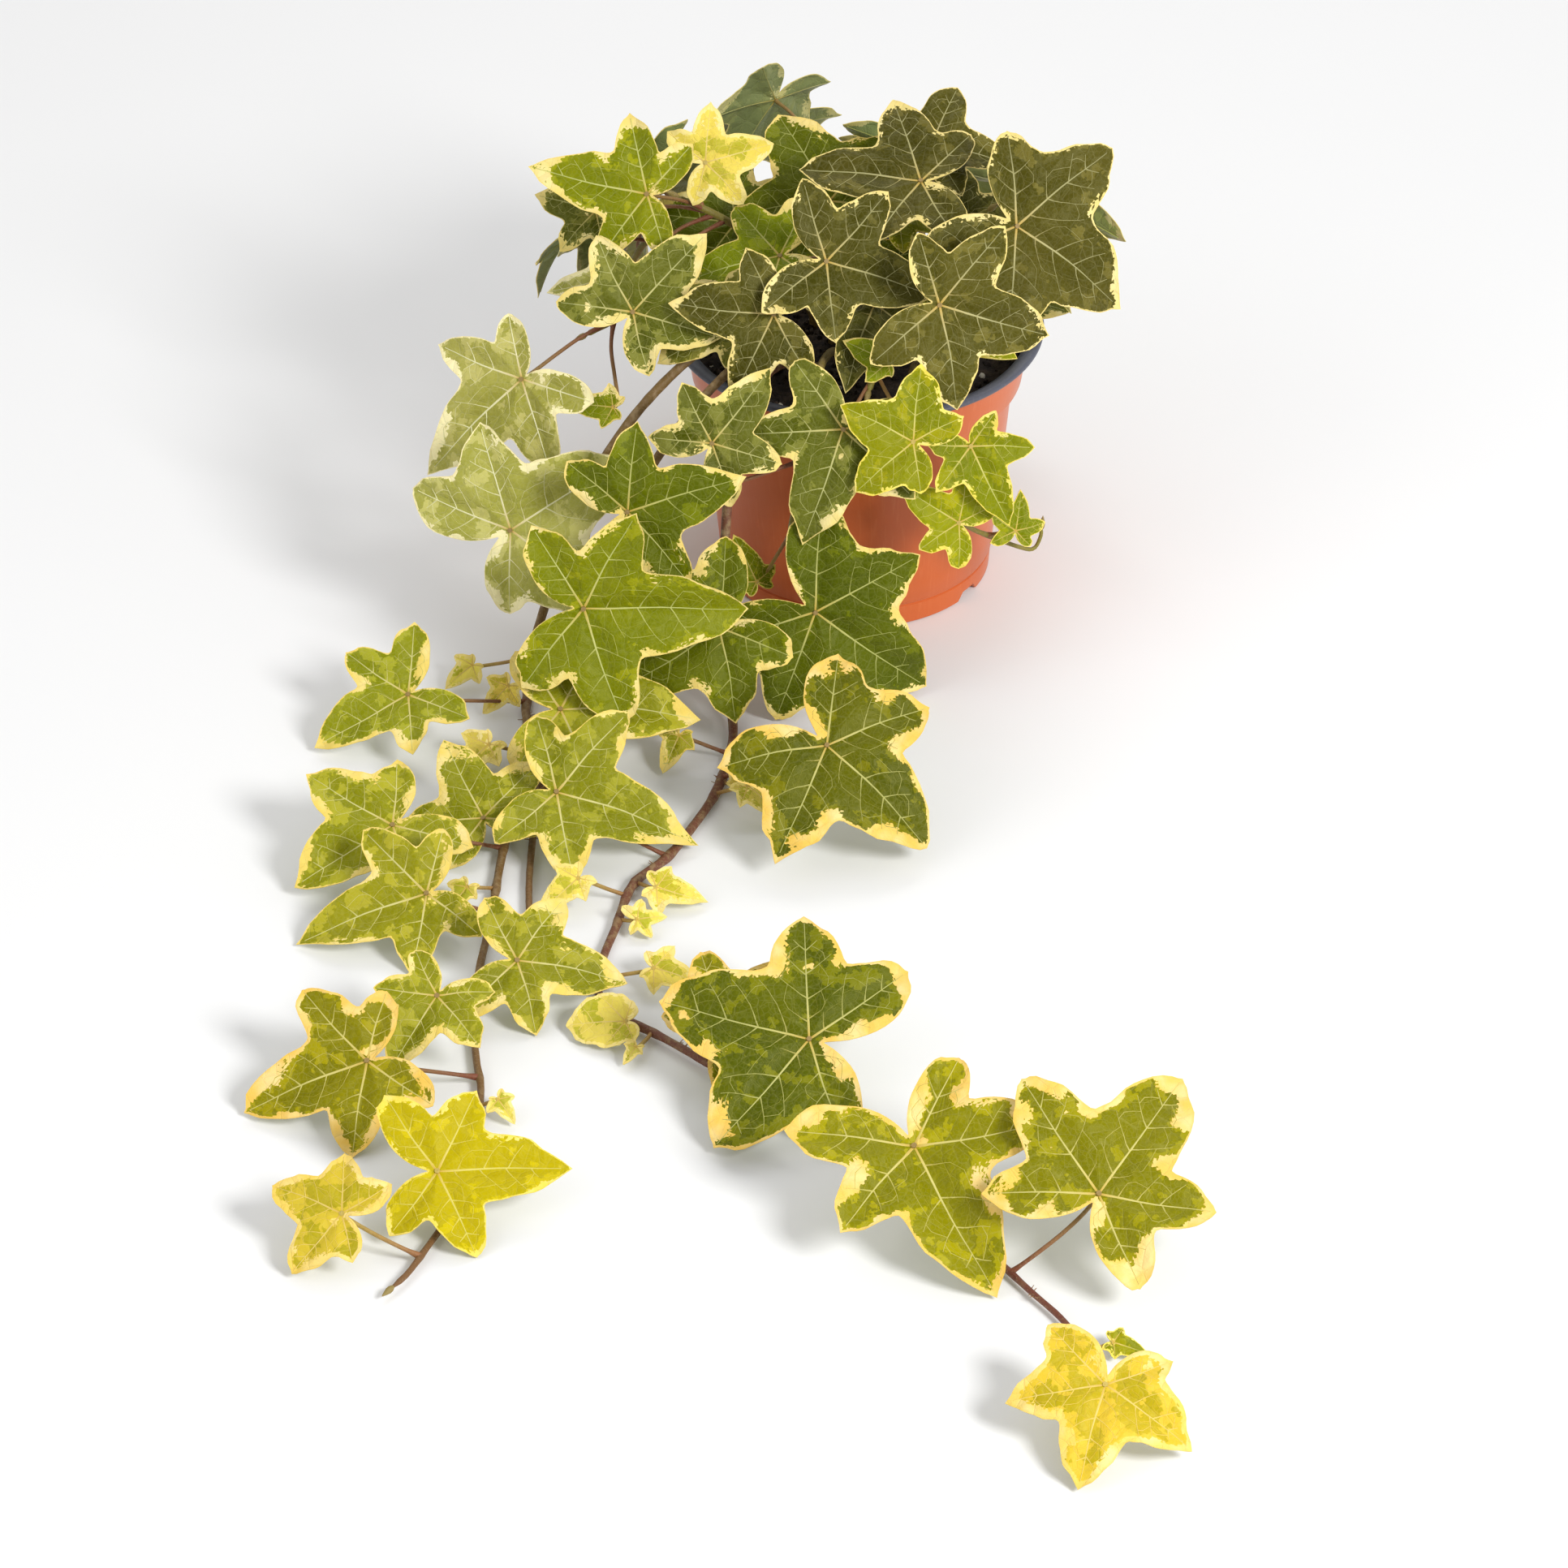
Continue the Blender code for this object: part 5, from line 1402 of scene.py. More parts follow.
@dataclass
class Blade:
    """One leaf blade in full detail. Thickness and ground height in mm, clearances at the tips in
    degrees, the rest as parts of the leaf's length. A ripple is its waves and its size."""

    leaf: LeafPlan
    bend: Bend
    around: int
    thick: float = 0.55
    rings: tuple = (0.10, 0.22, 0.34, 0.46, 0.57, 0.67, 0.76, 0.84, 0.90, 0.95, 0.98, 1.0)
    tip_clear: float = 4.6
    tip_steps: tuple = (-3.2, -1.5, 1.5, 3.2)
    ripples: tuple = ((7, 0.012), (13, 0.014), (22, 0.012), (34, 0.006))
    puff: float = 0.046
    puff_reach: float = 0.085
    sunk: float = 0.025
    wave: float = 0.016
    vein_reach: float = 0.92
    branch_step: float = 0.048
    ground: float = 0.1

    def edge(self, angle: np.ndarray) -> np.ndarray:
        """Edge of the fine blade: the plain one, faintly rippled and a little fuller.

        Args:
            angle: Angles from the middle vein, in degrees.

        Returns:
            Distance from the joint at each, as a part of the leaf's length.
        """
        rng = random.Random(self.leaf.seed + 900)
        r = self.bend.radius(self.leaf.form, angle)
        ripple = np.zeros_like(angle)
        for waves, size in self.ripples:
            ripple += size * np.sin(np.radians(angle) * waves + rng.uniform(0, math.tau))
        nearest = np.full_like(angle, 180.0)
        most = 0.05 if self.leaf.tone in (Tone.GOLDEN, Tone.GILDED) else 0.035
        for _, middle, _ in self.bend.lobes(self.leaf.form):
            off = np.abs((angle - middle + 180.0) % 360.0 - 180.0)
            nearest = np.minimum(nearest, off)
            r = r * (1 - rng.uniform(-0.012, most) * np.exp(-(off / 3.4) ** 2))
        return r * (1 + ripple * np.minimum(1.0, nearest / 6.0))

    def veins(self) -> list[tuple[float, float]]:
        """Angle in degrees and length of each main vein."""
        return [(middle, length) for length, middle, _ in self.bend.lobes(self.leaf.form)]

    def bow(self, angle: float) -> float:
        """How far the main vein at an angle bows to its left, as a part of its length."""
        return random.Random(self.leaf.seed * 17 + round(angle)).uniform(-0.022, 0.022)

    def relief(self, u: np.ndarray, v: np.ndarray) -> np.ndarray:
        """Height over the leaf's plane, with the face drawn in a little along its main veins.

        Args:
            u: Places along the middle vein, as parts of the leaf's length.
            v: Places across it.

        Returns:
            The heights, as parts of its length.
        """
        near = np.full_like(u, 9.0)
        for angle, _ in self.veins():
            a = math.radians(angle)
            along = u * math.cos(a) + v * math.sin(a)
            off = np.abs(v * math.cos(a) - u * math.sin(a))
            near = np.minimum(near, np.where(along > 0, off, np.hypot(u, v)))
        puff = self.puff * (1 - np.exp(-(near / self.puff_reach) ** 2))
        turn = 7 * np.arctan2(v, u) + self.leaf.seed
        wave = self.wave * np.hypot(u, v) ** 2 * np.sin(turn)
        return self.bend.height(u, v) + puff + wave - self.sunk

    def place(self, u: np.ndarray, v: np.ndarray, lift: float) -> np.ndarray:
        """Points of the blade in space, none of them under the ground.

        Args:
            u: Places along the middle vein, as parts of the leaf's length.
            v: Places across it.
            lift: Distance from the middle of the blade, in mm.

        Returns:
            The points, in mm.
        """
        along, across, n = (np.array(a) for a in leaf_axes(self.leaf))
        w = self.relief(u, v)
        size = self.leaf.length
        flat = u[..., None] * along + v[..., None] * across + w[..., None] * n
        points = np.array(self.leaf.joint) + flat * size + n * lift
        points[..., 2] = np.maximum(points[..., 2], self.ground + 0.04 * lift)
        return points

    def add_to(self, mesh: FineMesh) -> None:
        """Add the blade and its veins to a piece.

        Args:
            mesh: The piece.
        """
        leaf, size = self.leaf, self.leaf.length
        tips = [a % 360.0 for a, _ in self.veins()]
        even = [360.0 * k / self.around for k in range(self.around)]
        angles = [a for a in even
                  if min(abs((a - t + 180) % 360 - 180) for t in tips) > self.tip_clear]
        close = [(t + s) % 360 for t in tips for s in self.tip_steps]
        angles = np.array(sorted(angles + tips + close))
        r = self.edge(angles)
        rho = np.array(self.rings)[:, None]
        u = rho * r * np.cos(np.radians(angles))
        v = rho * r * np.sin(np.radians(angles))
        rim_u, rim_v = u[-1], v[-1]
        off = np.hypot(u[..., None] - rim_u, v[..., None] - rim_v).min(axis=-1) * size
        thin = 1.0 - 0.5 * np.array(self.rings) ** 6
        count, rings = len(angles), len(self.rings)
        top = [self.place(np.zeros(1), np.zeros(1), self.thick / 2)]
        low = [self.place(np.zeros(1), np.zeros(1), -self.thick / 2)]
        for k in range(rings):
            top.append(self.place(u[k], v[k], self.thick / 2 * thin[k]))
            low.append(self.place(u[k], v[k], -self.thick / 2 * thin[k]))
        verts = np.vstack(top + low)
        base = 1 + count * rings
        faces = []
        for i in range(count):
            j = (i + 1) % count
            faces += [(0, 1 + i, 1 + j), (base, base + 1 + j, base + 1 + i)]
            for k in range(rings - 1):
                a, b = 1 + k * count + i, 1 + k * count + j
                c, d = b + count, a + count
                faces += [(a, d, c, b), (base + a, base + b, base + c, base + d)]
            a, b = 1 + (rings - 1) * count + i, 1 + (rings - 1) * count + j
            faces.append((a, base + a, base + b, b))
        shift = 37.0 * (leaf.seed + 1)
        flat_u = np.concatenate([[0.0], u.ravel()]) * size + shift
        flat_v = np.concatenate([[0.0], v.ravel()]) * size
        uvs = np.stack([np.tile(flat_u, 2), np.tile(flat_v, 2)], axis=1)
        rim = np.concatenate([[size * 0.5], off.ravel()])
        stored = self.colours()
        far = np.concatenate([[0.0], np.hypot(u, v).ravel()])
        wide = stored["margin_mm"] * (0.85 + 0.9 * np.clip((far - 0.62) / 0.38, 0.0, 1.0))
        stored["margin_mm"] = np.tile(wide, 2).tolist()
        mesh.add(verts.tolist(), faces, 0, uvs.tolist(), rim_mm=np.tile(rim, 2).tolist(),
                 under=[0.0] * base + [1.0] * base, **stored)
        for line, width, faint in self.vein_lines(angles, r):
            self.add_rib(mesh, line, width, faint, shift, 1)
            if faint == 0.0:
                self.add_rib(mesh, line, width * 0.8, 0.35, shift, -1)

    def colours(self) -> dict[str, object]:
        """Stored colours of this leaf, each a little off its tone.

        Returns:
            Each value by its name.
        """
        rng = random.Random(self.leaf.seed + 500)
        tone = self.leaf.tone.value
        light = rng.uniform(0.88, 1.14)
        warm = rng.uniform(-0.06, 0.06)

        def shade(colour: tuple) -> tuple:
            """The colour in this leaf's own light and warmth."""
            return (colour[0] * light * (1 + warm), colour[1] * light, colour[2] * light)

        small = 0.45 + 0.55 * min(1.0, self.leaf.length / 36.0)
        return {"deep": shade(tone.deep), "pale": shade(tone.pale), "margin": tone.margin,
                "vein": tone.vein, "hairline_mm": tone.hairline_mm * small,
                "margin_mm": tone.margin_mm * small * rng.uniform(0.75, 1.25),
                "spots": tone.spots * rng.uniform(0.8, 1.05)}

    def vein_lines(self, angles: np.ndarray, r: np.ndarray
                   ) -> Iterator[tuple[np.ndarray, np.ndarray, float]]:
        """Course over the leaf, width in mm and faintness of each main vein, branch and loop.

        Args:
            angles: Angles of the edge's corners, in degrees.
            r: Distance from the joint to each of them, as a part of the leaf's length.

        Yields:
            Each vein's course, widths and faintness.
        """
        scale = 0.5 + 0.5 * min(1.0, self.leaf.length / 40.0)
        veins = sorted(self.veins())
        for i, (angle, length) in enumerate(veins):
            way = math.radians(angle)
            part = np.linspace(0.0, 1.0, 9)
            steps = self.vein_reach * length * part
            bow = self.bow(angle) * length * np.sin(np.pi * part) ** 2
            line = np.stack([steps * math.cos(way) - bow * math.sin(way),
                             steps * math.sin(way) + bow * math.cos(way)], axis=1)
            yield line, np.linspace(0.95, 0.22, 9) * scale, 0.0
            if self.leaf.length < 12.0:
                continue
            before = veins[i - 1][0] if i else -218.0
            after = veins[i + 1][0] if i + 1 < len(veins) else 218.0
            for side, gap in ((-1, (angle - before) / 2), (1, (after - angle) / 2)):
                rows = self.branches(way, length, side, gap, angles, r)
                for row in rows:
                    yield row, np.linspace(0.44, 0.18, len(row)) * scale, 0.25
                for one, two in zip(rows, rows[1:]):
                    yield self.loop(one, two, 0.86, 0.60), np.full(4, 0.24) * scale, 0.40
                    if self.leaf.length > 24.0:
                        yield self.loop(one, two, 0.48, 0.30), np.full(4, 0.16) * scale, 0.70

    def branches(self, way: float, length: float, side: int, gap: float, angles: np.ndarray,
                 r: np.ndarray) -> list[np.ndarray]:
        """Side veins on one side of a main vein, each a slightly crooked curve.

        Args:
            way: Angle of the main vein, in radians.
            length: Its length, as a part of the leaf's.
            side: 1 for the left side, -1 for the right.
            gap: Degrees from it to where the next vein's own part of the leaf begins.
            angles: Angles of the edge's corners, in degrees.
            r: Distance to each of them.

        Returns:
            The courses, nearest the joint first.
        """
        rng = random.Random(self.leaf.seed * 31 + round(math.degrees(way)) * 2 + side)
        ring, edge = np.append(angles, angles[0] + 360.0), np.append(r, r[0])
        count = 4 if length > 0.75 else 3
        rows = []
        for k in range(count):
            at = length * (0.14 + 0.19 * k + rng.uniform(-0.02, 0.02))
            turn = way + side * math.radians(rng.uniform(56, 68) - 3.0 * k)
            off = self.bow(math.degrees(way)) * length * math.sin(
                math.pi * min(1.0, at / (self.vein_reach * length))) ** 2
            u = at * math.cos(way) - off * math.sin(way)
            v = at * math.sin(way) + off * math.cos(way)
            course = [(u, v)]
            for _ in range(9):
                lean = turn + math.radians(rng.uniform(-4, 4))
                u += self.branch_step * math.cos(lean)
                v += self.branch_step * math.sin(lean)
                angle = math.degrees(math.atan2(v, u))
                off = abs((angle - math.degrees(way) + 180.0) % 360.0 - 180.0)
                place = angle % 360.0
                place += 360.0 if place < ring[0] else 0.0
                rim = float(np.interp(place, ring, edge))
                if off > gap - 2.0 or math.hypot(u, v) > 0.90 * rim:
                    break
                turn -= side * math.radians(3.2)
                course.append((u, v))
            if len(course) > 2:
                rows.append(np.array(course))
        return rows

    @staticmethod
    def loop(one: np.ndarray, two: np.ndarray, start: float, end: float) -> np.ndarray:
        """A curved link from one side vein to the next.

        Args:
            one: A side vein.
            two: The next one.
            start: Where it leaves the first, 0 to 1.
            end: Where it meets the second.

        Returns:
            The link's course.
        """
        a = one[round((len(one) - 1) * start)]
        b = two[round((len(two) - 1) * end)]
        bow = np.array([-(b - a)[1], (b - a)[0]]) * 0.16
        bow *= 1.0 if float(np.dot(bow, a)) > 0 else -1.0
        return np.array([a, a * 0.67 + b * 0.33 + bow, a * 0.33 + b * 0.67 + bow * 0.6, b])

    def add_rib(self, mesh: FineMesh, line: np.ndarray, width: np.ndarray, faint: float,
                shift: float, face: int) -> None:
        """Add one raised vein: a low three-sided rib sunk into a face of the blade.

        Args:
            mesh: The piece that takes it.
            line: Its course over the leaf.
            width: Its width in mm along the course.
            faint: How far its colour goes over to the leaf's own green.
            shift: Start of the leaf's map.
            face: 1 for the upper face, -1 for the lower one.
        """
        ahead = np.gradient(line, axis=0)
        ahead /= np.linalg.norm(ahead, axis=1)[:, None]
        side = np.stack([-ahead[:, 1], ahead[:, 0]], axis=1)
        half = (width / 2 / self.leaf.length)[:, None]
        top = self.thick / 2
        rows = []
        crest = 0.04 + 0.14 * float(width[0]) / 0.95
        for s, lift in ((1.0, top - 0.06), (0.0, top + crest), (-1.0, top - 0.06)):
            at = line + side * half * s * face
            rows.append(self.place(at[:, 0], at[:, 1], lift * face))
        verts = np.stack(rows, axis=1).reshape(-1, 3)
        faces = [(0, 1, 2)]
        for i in range(len(line) - 1):
            for k in range(3):
                a, b = 3 * i + k, 3 * i + (k + 1) % 3
                faces.append((a, a + 3, b + 3, b))
        last = 3 * (len(line) - 1)
        faces.append((last, last + 2, last + 1))
        uvs = np.repeat(line * self.leaf.length + np.array([shift, 0.0]), 3, axis=0)
        stored = self.colours()
        hub = np.exp(-np.linalg.norm(line, axis=1) * self.leaf.length / 5.0)[:, None]
        tint = np.array(stored["vein"]) * (1 - hub) + np.array(VEIN_HUB) * hub
        stored["vein"] = np.repeat(tint, 3, axis=0).tolist()
        mesh.add(verts.tolist(), faces, 1, uvs.tolist(), rim_mm=9.0, under=faint, **stored)


# Points round the edge of a leaf that is longer than so many mm.
EDGE_POINTS = ((24.0, 112), (14.0, 76), (0.0, 52))

# Degrees over which an edge between two faces stays sharp.
LEAF_SHARP = 60.0
STEM_SHARP = 50.0
SOIL_SHARP = 40.0
POT_SHARP = 38.0

# Colours of stems, of stalks from the stem to the blade, of rootlets and of end buds.
STEM_RED = srgb(108, 48, 38)
STEM_GREEN = srgb(134, 122, 44)
YOUNG_TONES = (Tone.LIME, Tone.SPRING, Tone.CREAM, Tone.STRAW)
YOUNG_STALK = (srgb(150, 96, 58), srgb(196, 172, 80))
OLD_STALK = (srgb(128, 62, 44), srgb(150, 124, 66))
ROOTLET = srgb(150, 112, 74)
BUD = srgb(150, 132, 66)


@dataclass
class LeafyStem:
    """One leafy stem: its blades as one piece, its stem and stalks as another. Sizes in mm, the
    gap between tufts of rootlets in points of the stem, the bud as places and widths."""

    plan: StemPlan
    leaves: list[tuple[LeafPlan, Bend, list[Vector]]]
    shift: Vector
    fine_step: float = 3.0
    sides: int = 12
    stalk_sides: int = 8
    stalk_r: float = 0.62
    stalk_step: float = 1.8
    joint_reach: float = 2.6
    tuft_gap: int = 17
    tuft: int = 5
    bud: tuple = ((0.0, 0.7), (0.9, 1.1), (2.0, 1.15), (3.2, 0.8), (4.4, 0.35), (5.0, 0.08))

    def build_leaves(self, finishes: Sequence[bpy.types.Material]) -> bpy.types.Object:
        """Build the blades with their veins.

        Args:
            finishes: Skin and vein materials.

        Returns:
            The piece.
        """
        mesh = FineMesh(self.plan.name + "_leaves")
        for leaf, bend, _ in self.leaves:
            around = next(count for least, count in EDGE_POINTS if leaf.length > least)
            Blade(leaf, bend, around).add_to(mesh)
        return mesh.make(self.shift, finishes, LEAF_SHARP)

    def build_stem(self, finishes: Sequence[bpy.types.Material]) -> bpy.types.Object:
        """Build the stem with swollen nodes, its stalks, rootlets and end bud.

        Args:
            finishes: The bark material.

        Returns:
            The piece.
        """
        mesh = FineMesh(self.plan.name + "_stem")
        rng = random.Random(self.plan.name)
        trailing = bool(self.plan.laid)
        course = stem_course(self.plan, self.fine_step if trailing else self.fine_step * 0.4)
        starts = [line[0] for _, _, line in self.leaves]
        radii = []
        for p, r in zip(course, radii_along(len(course), self.plan.thick, self.plan.thin)):
            swell = sum(math.exp(-((p - s).length / self.joint_reach) ** 2) for s in starts)
            radii.append(r * (1 + 0.22 * min(1.0, swell) + rng.uniform(-0.04, 0.04)))
        radii[-1] *= 0.5
        verts, faces = tube_mesh(course, radii, self.sides)
        tints, woods = [], []
        for i in range(len(course)):
            share = i / (len(course) - 1)
            mixed = self.plan.green * (1.0 - 0.5 * share) if trailing else 0.6 + 0.5 * share
            tint = tuple(a + (b - a) * mixed for a, b in zip(STEM_RED, STEM_GREEN))
            tints += [tint] * self.sides
            woods += [(1.0 - share) ** 0.7 * (0.8 if trailing else 0.45)] * self.sides
        mesh.add(verts, faces, tint=tints, woody=woods)
        for leaf, _, line in self.leaves:
            self.add_stalk(mesh, leaf, line, course)
        if trailing:
            self.add_rootlets(mesh, course, radii, rng)
        self.add_bud(mesh, course)
        return mesh.make(self.shift, finishes, STEM_SHARP)

    def add_stalk(self, mesh: FineMesh, leaf: LeafPlan, line: list[Vector],
                  course: list[Vector]) -> None:
        """Add one leaf stalk, thicker where it leaves the stem and where it meets the blade.

        Args:
            mesh: The piece that takes it.
            leaf: Its leaf.
            line: Its course.
            course: The stem's course.
        """
        root = min(course, key=lambda p: (p - line[0]).length)
        points = ([root] if (root - line[0]).length > 0.4 else []) + line
        fine = smooth_course(points, self.stalk_step)
        for p in fine[2:]:
            p.z = max(p.z, 0.8)
        radii = []
        for i in range(len(fine)):
            t = i / (len(fine) - 1)
            radii.append(self.stalk_r + 0.45 * math.exp(-(t / 0.10) ** 2)
                         + 0.18 * math.exp(-((1 - t) / 0.05) ** 2))
        verts, faces = tube_mesh(fine, radii, self.stalk_sides)
        low, high = YOUNG_STALK if leaf.tone in YOUNG_TONES else OLD_STALK
        tints = []
        for i in range(len(fine)):
            t = i / (len(fine) - 1)
            tints += [tuple(a + (b - a) * t for a, b in zip(low, high))] * self.stalk_sides
        mesh.add(verts, faces, tint=tints, woody=0.12)

    def add_rootlets(self, mesh: FineMesh, course: list[Vector], radii: list[float],
                     rng: random.Random) -> None:
        """Add short clinging rootlets in tufts along the lying stem.

        Args:
            mesh: The piece that takes them.
            course: The stem's course.
            radii: The stem's radius at each point.
            rng: Source of the draws.
        """
        for i in range(30, len(course) - 12, self.tuft_gap):
            p = course[i]
            if p.z > 12.0:
                continue
            ahead = (course[i + 1] - course[i - 1]).normalized()
            for _ in range(self.tuft):
                turn = rng.uniform(-1.3, 1.3)
                side = ahead.cross(UP).normalized() * (1 if rng.random() < 0.5 else -1)
                out = (side * math.cos(turn) + UP * abs(math.sin(turn)) * 0.5).normalized()
                start = p + ahead * rng.uniform(-3, 3)
                end = start + out * (radii[i] + rng.uniform(0.7, 1.6))
                end.z = max(end.z, 0.3)
                verts, faces = tube_mesh([start, end], [0.22, 0.10], 4)
                mesh.add(verts, faces, tint=ROOTLET, woody=0.3)

    def add_bud(self, mesh: FineMesh, course: list[Vector]) -> None:
        """Add the closed bud at the stem's tip.

        Args:
            mesh: The piece that takes it.
            course: The stem's course.
        """
        ahead = (course[-1] - course[-3]).normalized()
        line = [course[-1] + ahead * s for s, _ in self.bud]
        for p in line:
            p.z = max(p.z, 1.4)
        scale = max(0.8, self.plan.thin)
        verts, faces = tube_mesh(line, [r * scale for _, r in self.bud], 10)
        mesh.add(verts, faces, tint=BUD, woody=0.25)


@dataclass
class Pot:
    """The two-colour moulded pot."""

    sizes: PotSizes
    shift: Vector
    sides: int = 144

    def fine_outline(self) -> tuple[list[tuple[float, float]], int]:
        """Outline with rounded corners.

        Returns:
            Radius and height of each corner, and where the dark lip and inside start.
        """
        s = self.sizes
        inner_low, inner_top = s.band_low_r - s.wall, s.band_top_r - s.wall
        outside = [
            (0.0, s.floor_low), (20.0, s.floor_low), (s.foot_inner_r - 0.7, s.floor_low),
            (s.foot_inner_r - 0.2, s.floor_low - 0.2), (s.foot_inner_r, s.floor_low - 0.7),
            (s.foot_inner_r, 0.3), (s.foot_inner_r + 0.3, 0.0), (s.foot_r - 0.3, 0.0),
            (s.foot_r, 0.3), (s.foot_r + 0.42, s.foot_h - 1.0), (s.foot_r + 0.35, s.foot_h - 0.6),
            (s.body_low_r - s.foot_groove - 0.1, s.foot_h - 0.35),
            (s.body_low_r - s.foot_groove - 0.1, s.foot_h + 0.15),
            (s.body_low_r - 0.25, s.foot_h + 0.5), (s.body_low_r, s.foot_h + 0.9),
        ]
        for k in range(1, 8):
            t = k / 8
            outside.append((s.body_low_r + (s.body_top_r - s.body_low_r) * t,
                            s.foot_h + 0.9 + (s.band_z - 2.0 - s.foot_h - 0.9) * t))
        outside += [
            (s.body_top_r - 0.05, s.band_z - 2.0), (s.body_top_r + 0.15, s.band_z - 1.3),
            (s.body_top_r + 0.5, s.band_z - 0.55), (s.body_top_r + 1.1, s.band_z - 0.18),
            (s.band_low_r - 0.7, s.band_z), (s.band_low_r - 0.2, s.band_z + 0.2),
            (s.band_low_r, s.band_z + 0.75), (s.band_low_r + 1.1, s.band_z + 8.0),
            (s.band_top_r - 0.25, s.lip_z - 1.2), (s.band_top_r, s.lip_z - 0.25),
        ]
        inside = [
            (s.band_top_r + 0.1, s.lip_z - 0.02), (s.lip_r - 1.2, s.lip_z + 0.18),
            (s.lip_r - 0.45, s.lip_z + 0.35), (s.lip_r - 0.05, s.lip_z + 0.85),
            (s.lip_r, s.lip_z + 1.25), (s.lip_r - 0.25, s.lip_z + 1.75),
            (s.lip_r - 0.8, s.top_z - 0.05), (s.lip_r - 1.6, s.top_z),
            (s.band_top_r + 1.5, s.top_z - 0.1), (s.band_top_r + 0.3, s.top_z - 0.6),
            (inner_top + 0.35, s.top_z - 1.6), (inner_top, s.lip_z - 1.0),
            ((inner_top + inner_low) / 2, (s.lip_z + s.band_z) / 2),
            (inner_low + 0.05, s.band_z + 1.6), (inner_low - 0.3, s.band_z + 1.1),
            (s.body_top_r - s.wall + 0.3, s.band_z - 0.8), (s.body_top_r - s.wall, s.band_z - 1.4),
            ((s.body_top_r + s.body_low_r) / 2 - s.wall, s.band_z / 2),
            (s.body_low_r - s.wall, s.floor_top + 1.1),
            (s.body_low_r - s.wall - 0.3, s.floor_top + 0.3),
            (s.body_low_r - s.wall - 1.1, s.floor_top), (20.0, s.floor_top), (0.0, s.floor_top),
        ]
        return outside + inside, len(outside) - 1

    def cutters(self) -> Mesh:
        """The bodies that cut the foot's notches and the drain holes.

        Returns:
            Corners and faces of them all.
        """
        s = self.sizes
        verts, faces = [], []

        def take(part: Mesh) -> None:
            """Add one cutting body to the rest."""
            base = len(verts)
            verts.extend(part[0])
            faces.extend(tuple(base + i for i in face) for face in part[1])

        for k in range(s.notches):
            bar = []
            for r in (s.foot_inner_r - 4.0, s.foot_r + 4.0):
                for half, z in ((s.notch_low_w / 2 + 0.8, -1.0), (s.notch_top_w / 2, s.notch_h)):
                    bar += [Vector((r, side * half, z)) for side in (-1, 1)]
            spin = Matrix.Rotation(math.radians(s.notch_turn) + math.tau * k / s.notches, 3, "Z")
            take(([spin @ p for p in bar],
                  [(0, 1, 3, 2), (4, 6, 7, 5), (0, 4, 5, 1), (2, 3, 7, 6), (0, 2, 6, 4),
                   (1, 5, 7, 3)]))
        for k in range(s.drains):
            turn = math.tau * (k + 0.5) / s.drains
            x, y = s.drain_ring_r * math.cos(turn), s.drain_ring_r * math.sin(turn)
            take(tube_mesh([Vector((x, y, s.floor_low - 1.5)), Vector((x, y, s.floor_top + 1.5))],
                           [s.drain_r, s.drain_r], 28))
        return verts, faces

    def build(self, finishes: Sequence[bpy.types.Material]) -> bpy.types.Object:
        """Build the pot: terracotta skin outside, dark lip and inside.

        Args:
            finishes: Outside and inside materials.

        Returns:
            The pot.
        """
        outline, first = self.fine_outline()
        verts, faces = turned_mesh(outline, self.sides)
        skin = [0 if i // self.sides < first else 1 for i in range(len(faces))]
        mesh = FineMesh("pot_shell")
        mesh.add(verts, faces)
        mesh.materials = skin
        pot = mesh.make(self.shift, finishes, POT_SHARP)
        tool = FineMesh("pot_tool")
        tool.add(*self.cutters())
        cutter = tool.make(self.shift, [finishes[0]], 30.0)
        for ob in (pot, cutter):
            work = bmesh.new()
            work.from_mesh(ob.data)
            bmesh.ops.recalc_face_normals(work, faces=work.faces)
            work.to_mesh(ob.data)
            work.free()
        mod = pot.modifiers.new("cut", "BOOLEAN")
        mod.operation = "DIFFERENCE"
        mod.solver = "EXACT"
        mod.object = cutter
        bpy.context.view_layer.update()
        graph = bpy.context.evaluated_depsgraph_get()
        cut = bpy.data.meshes.new_from_object(pot.evaluated_get(graph))
        pot.modifiers.clear()
        pot.data = cut
        bpy.data.objects.remove(cutter)
        cut.shade_smooth()
        cut.set_sharp_from_angle(angle=math.radians(POT_SHARP))
        return pot


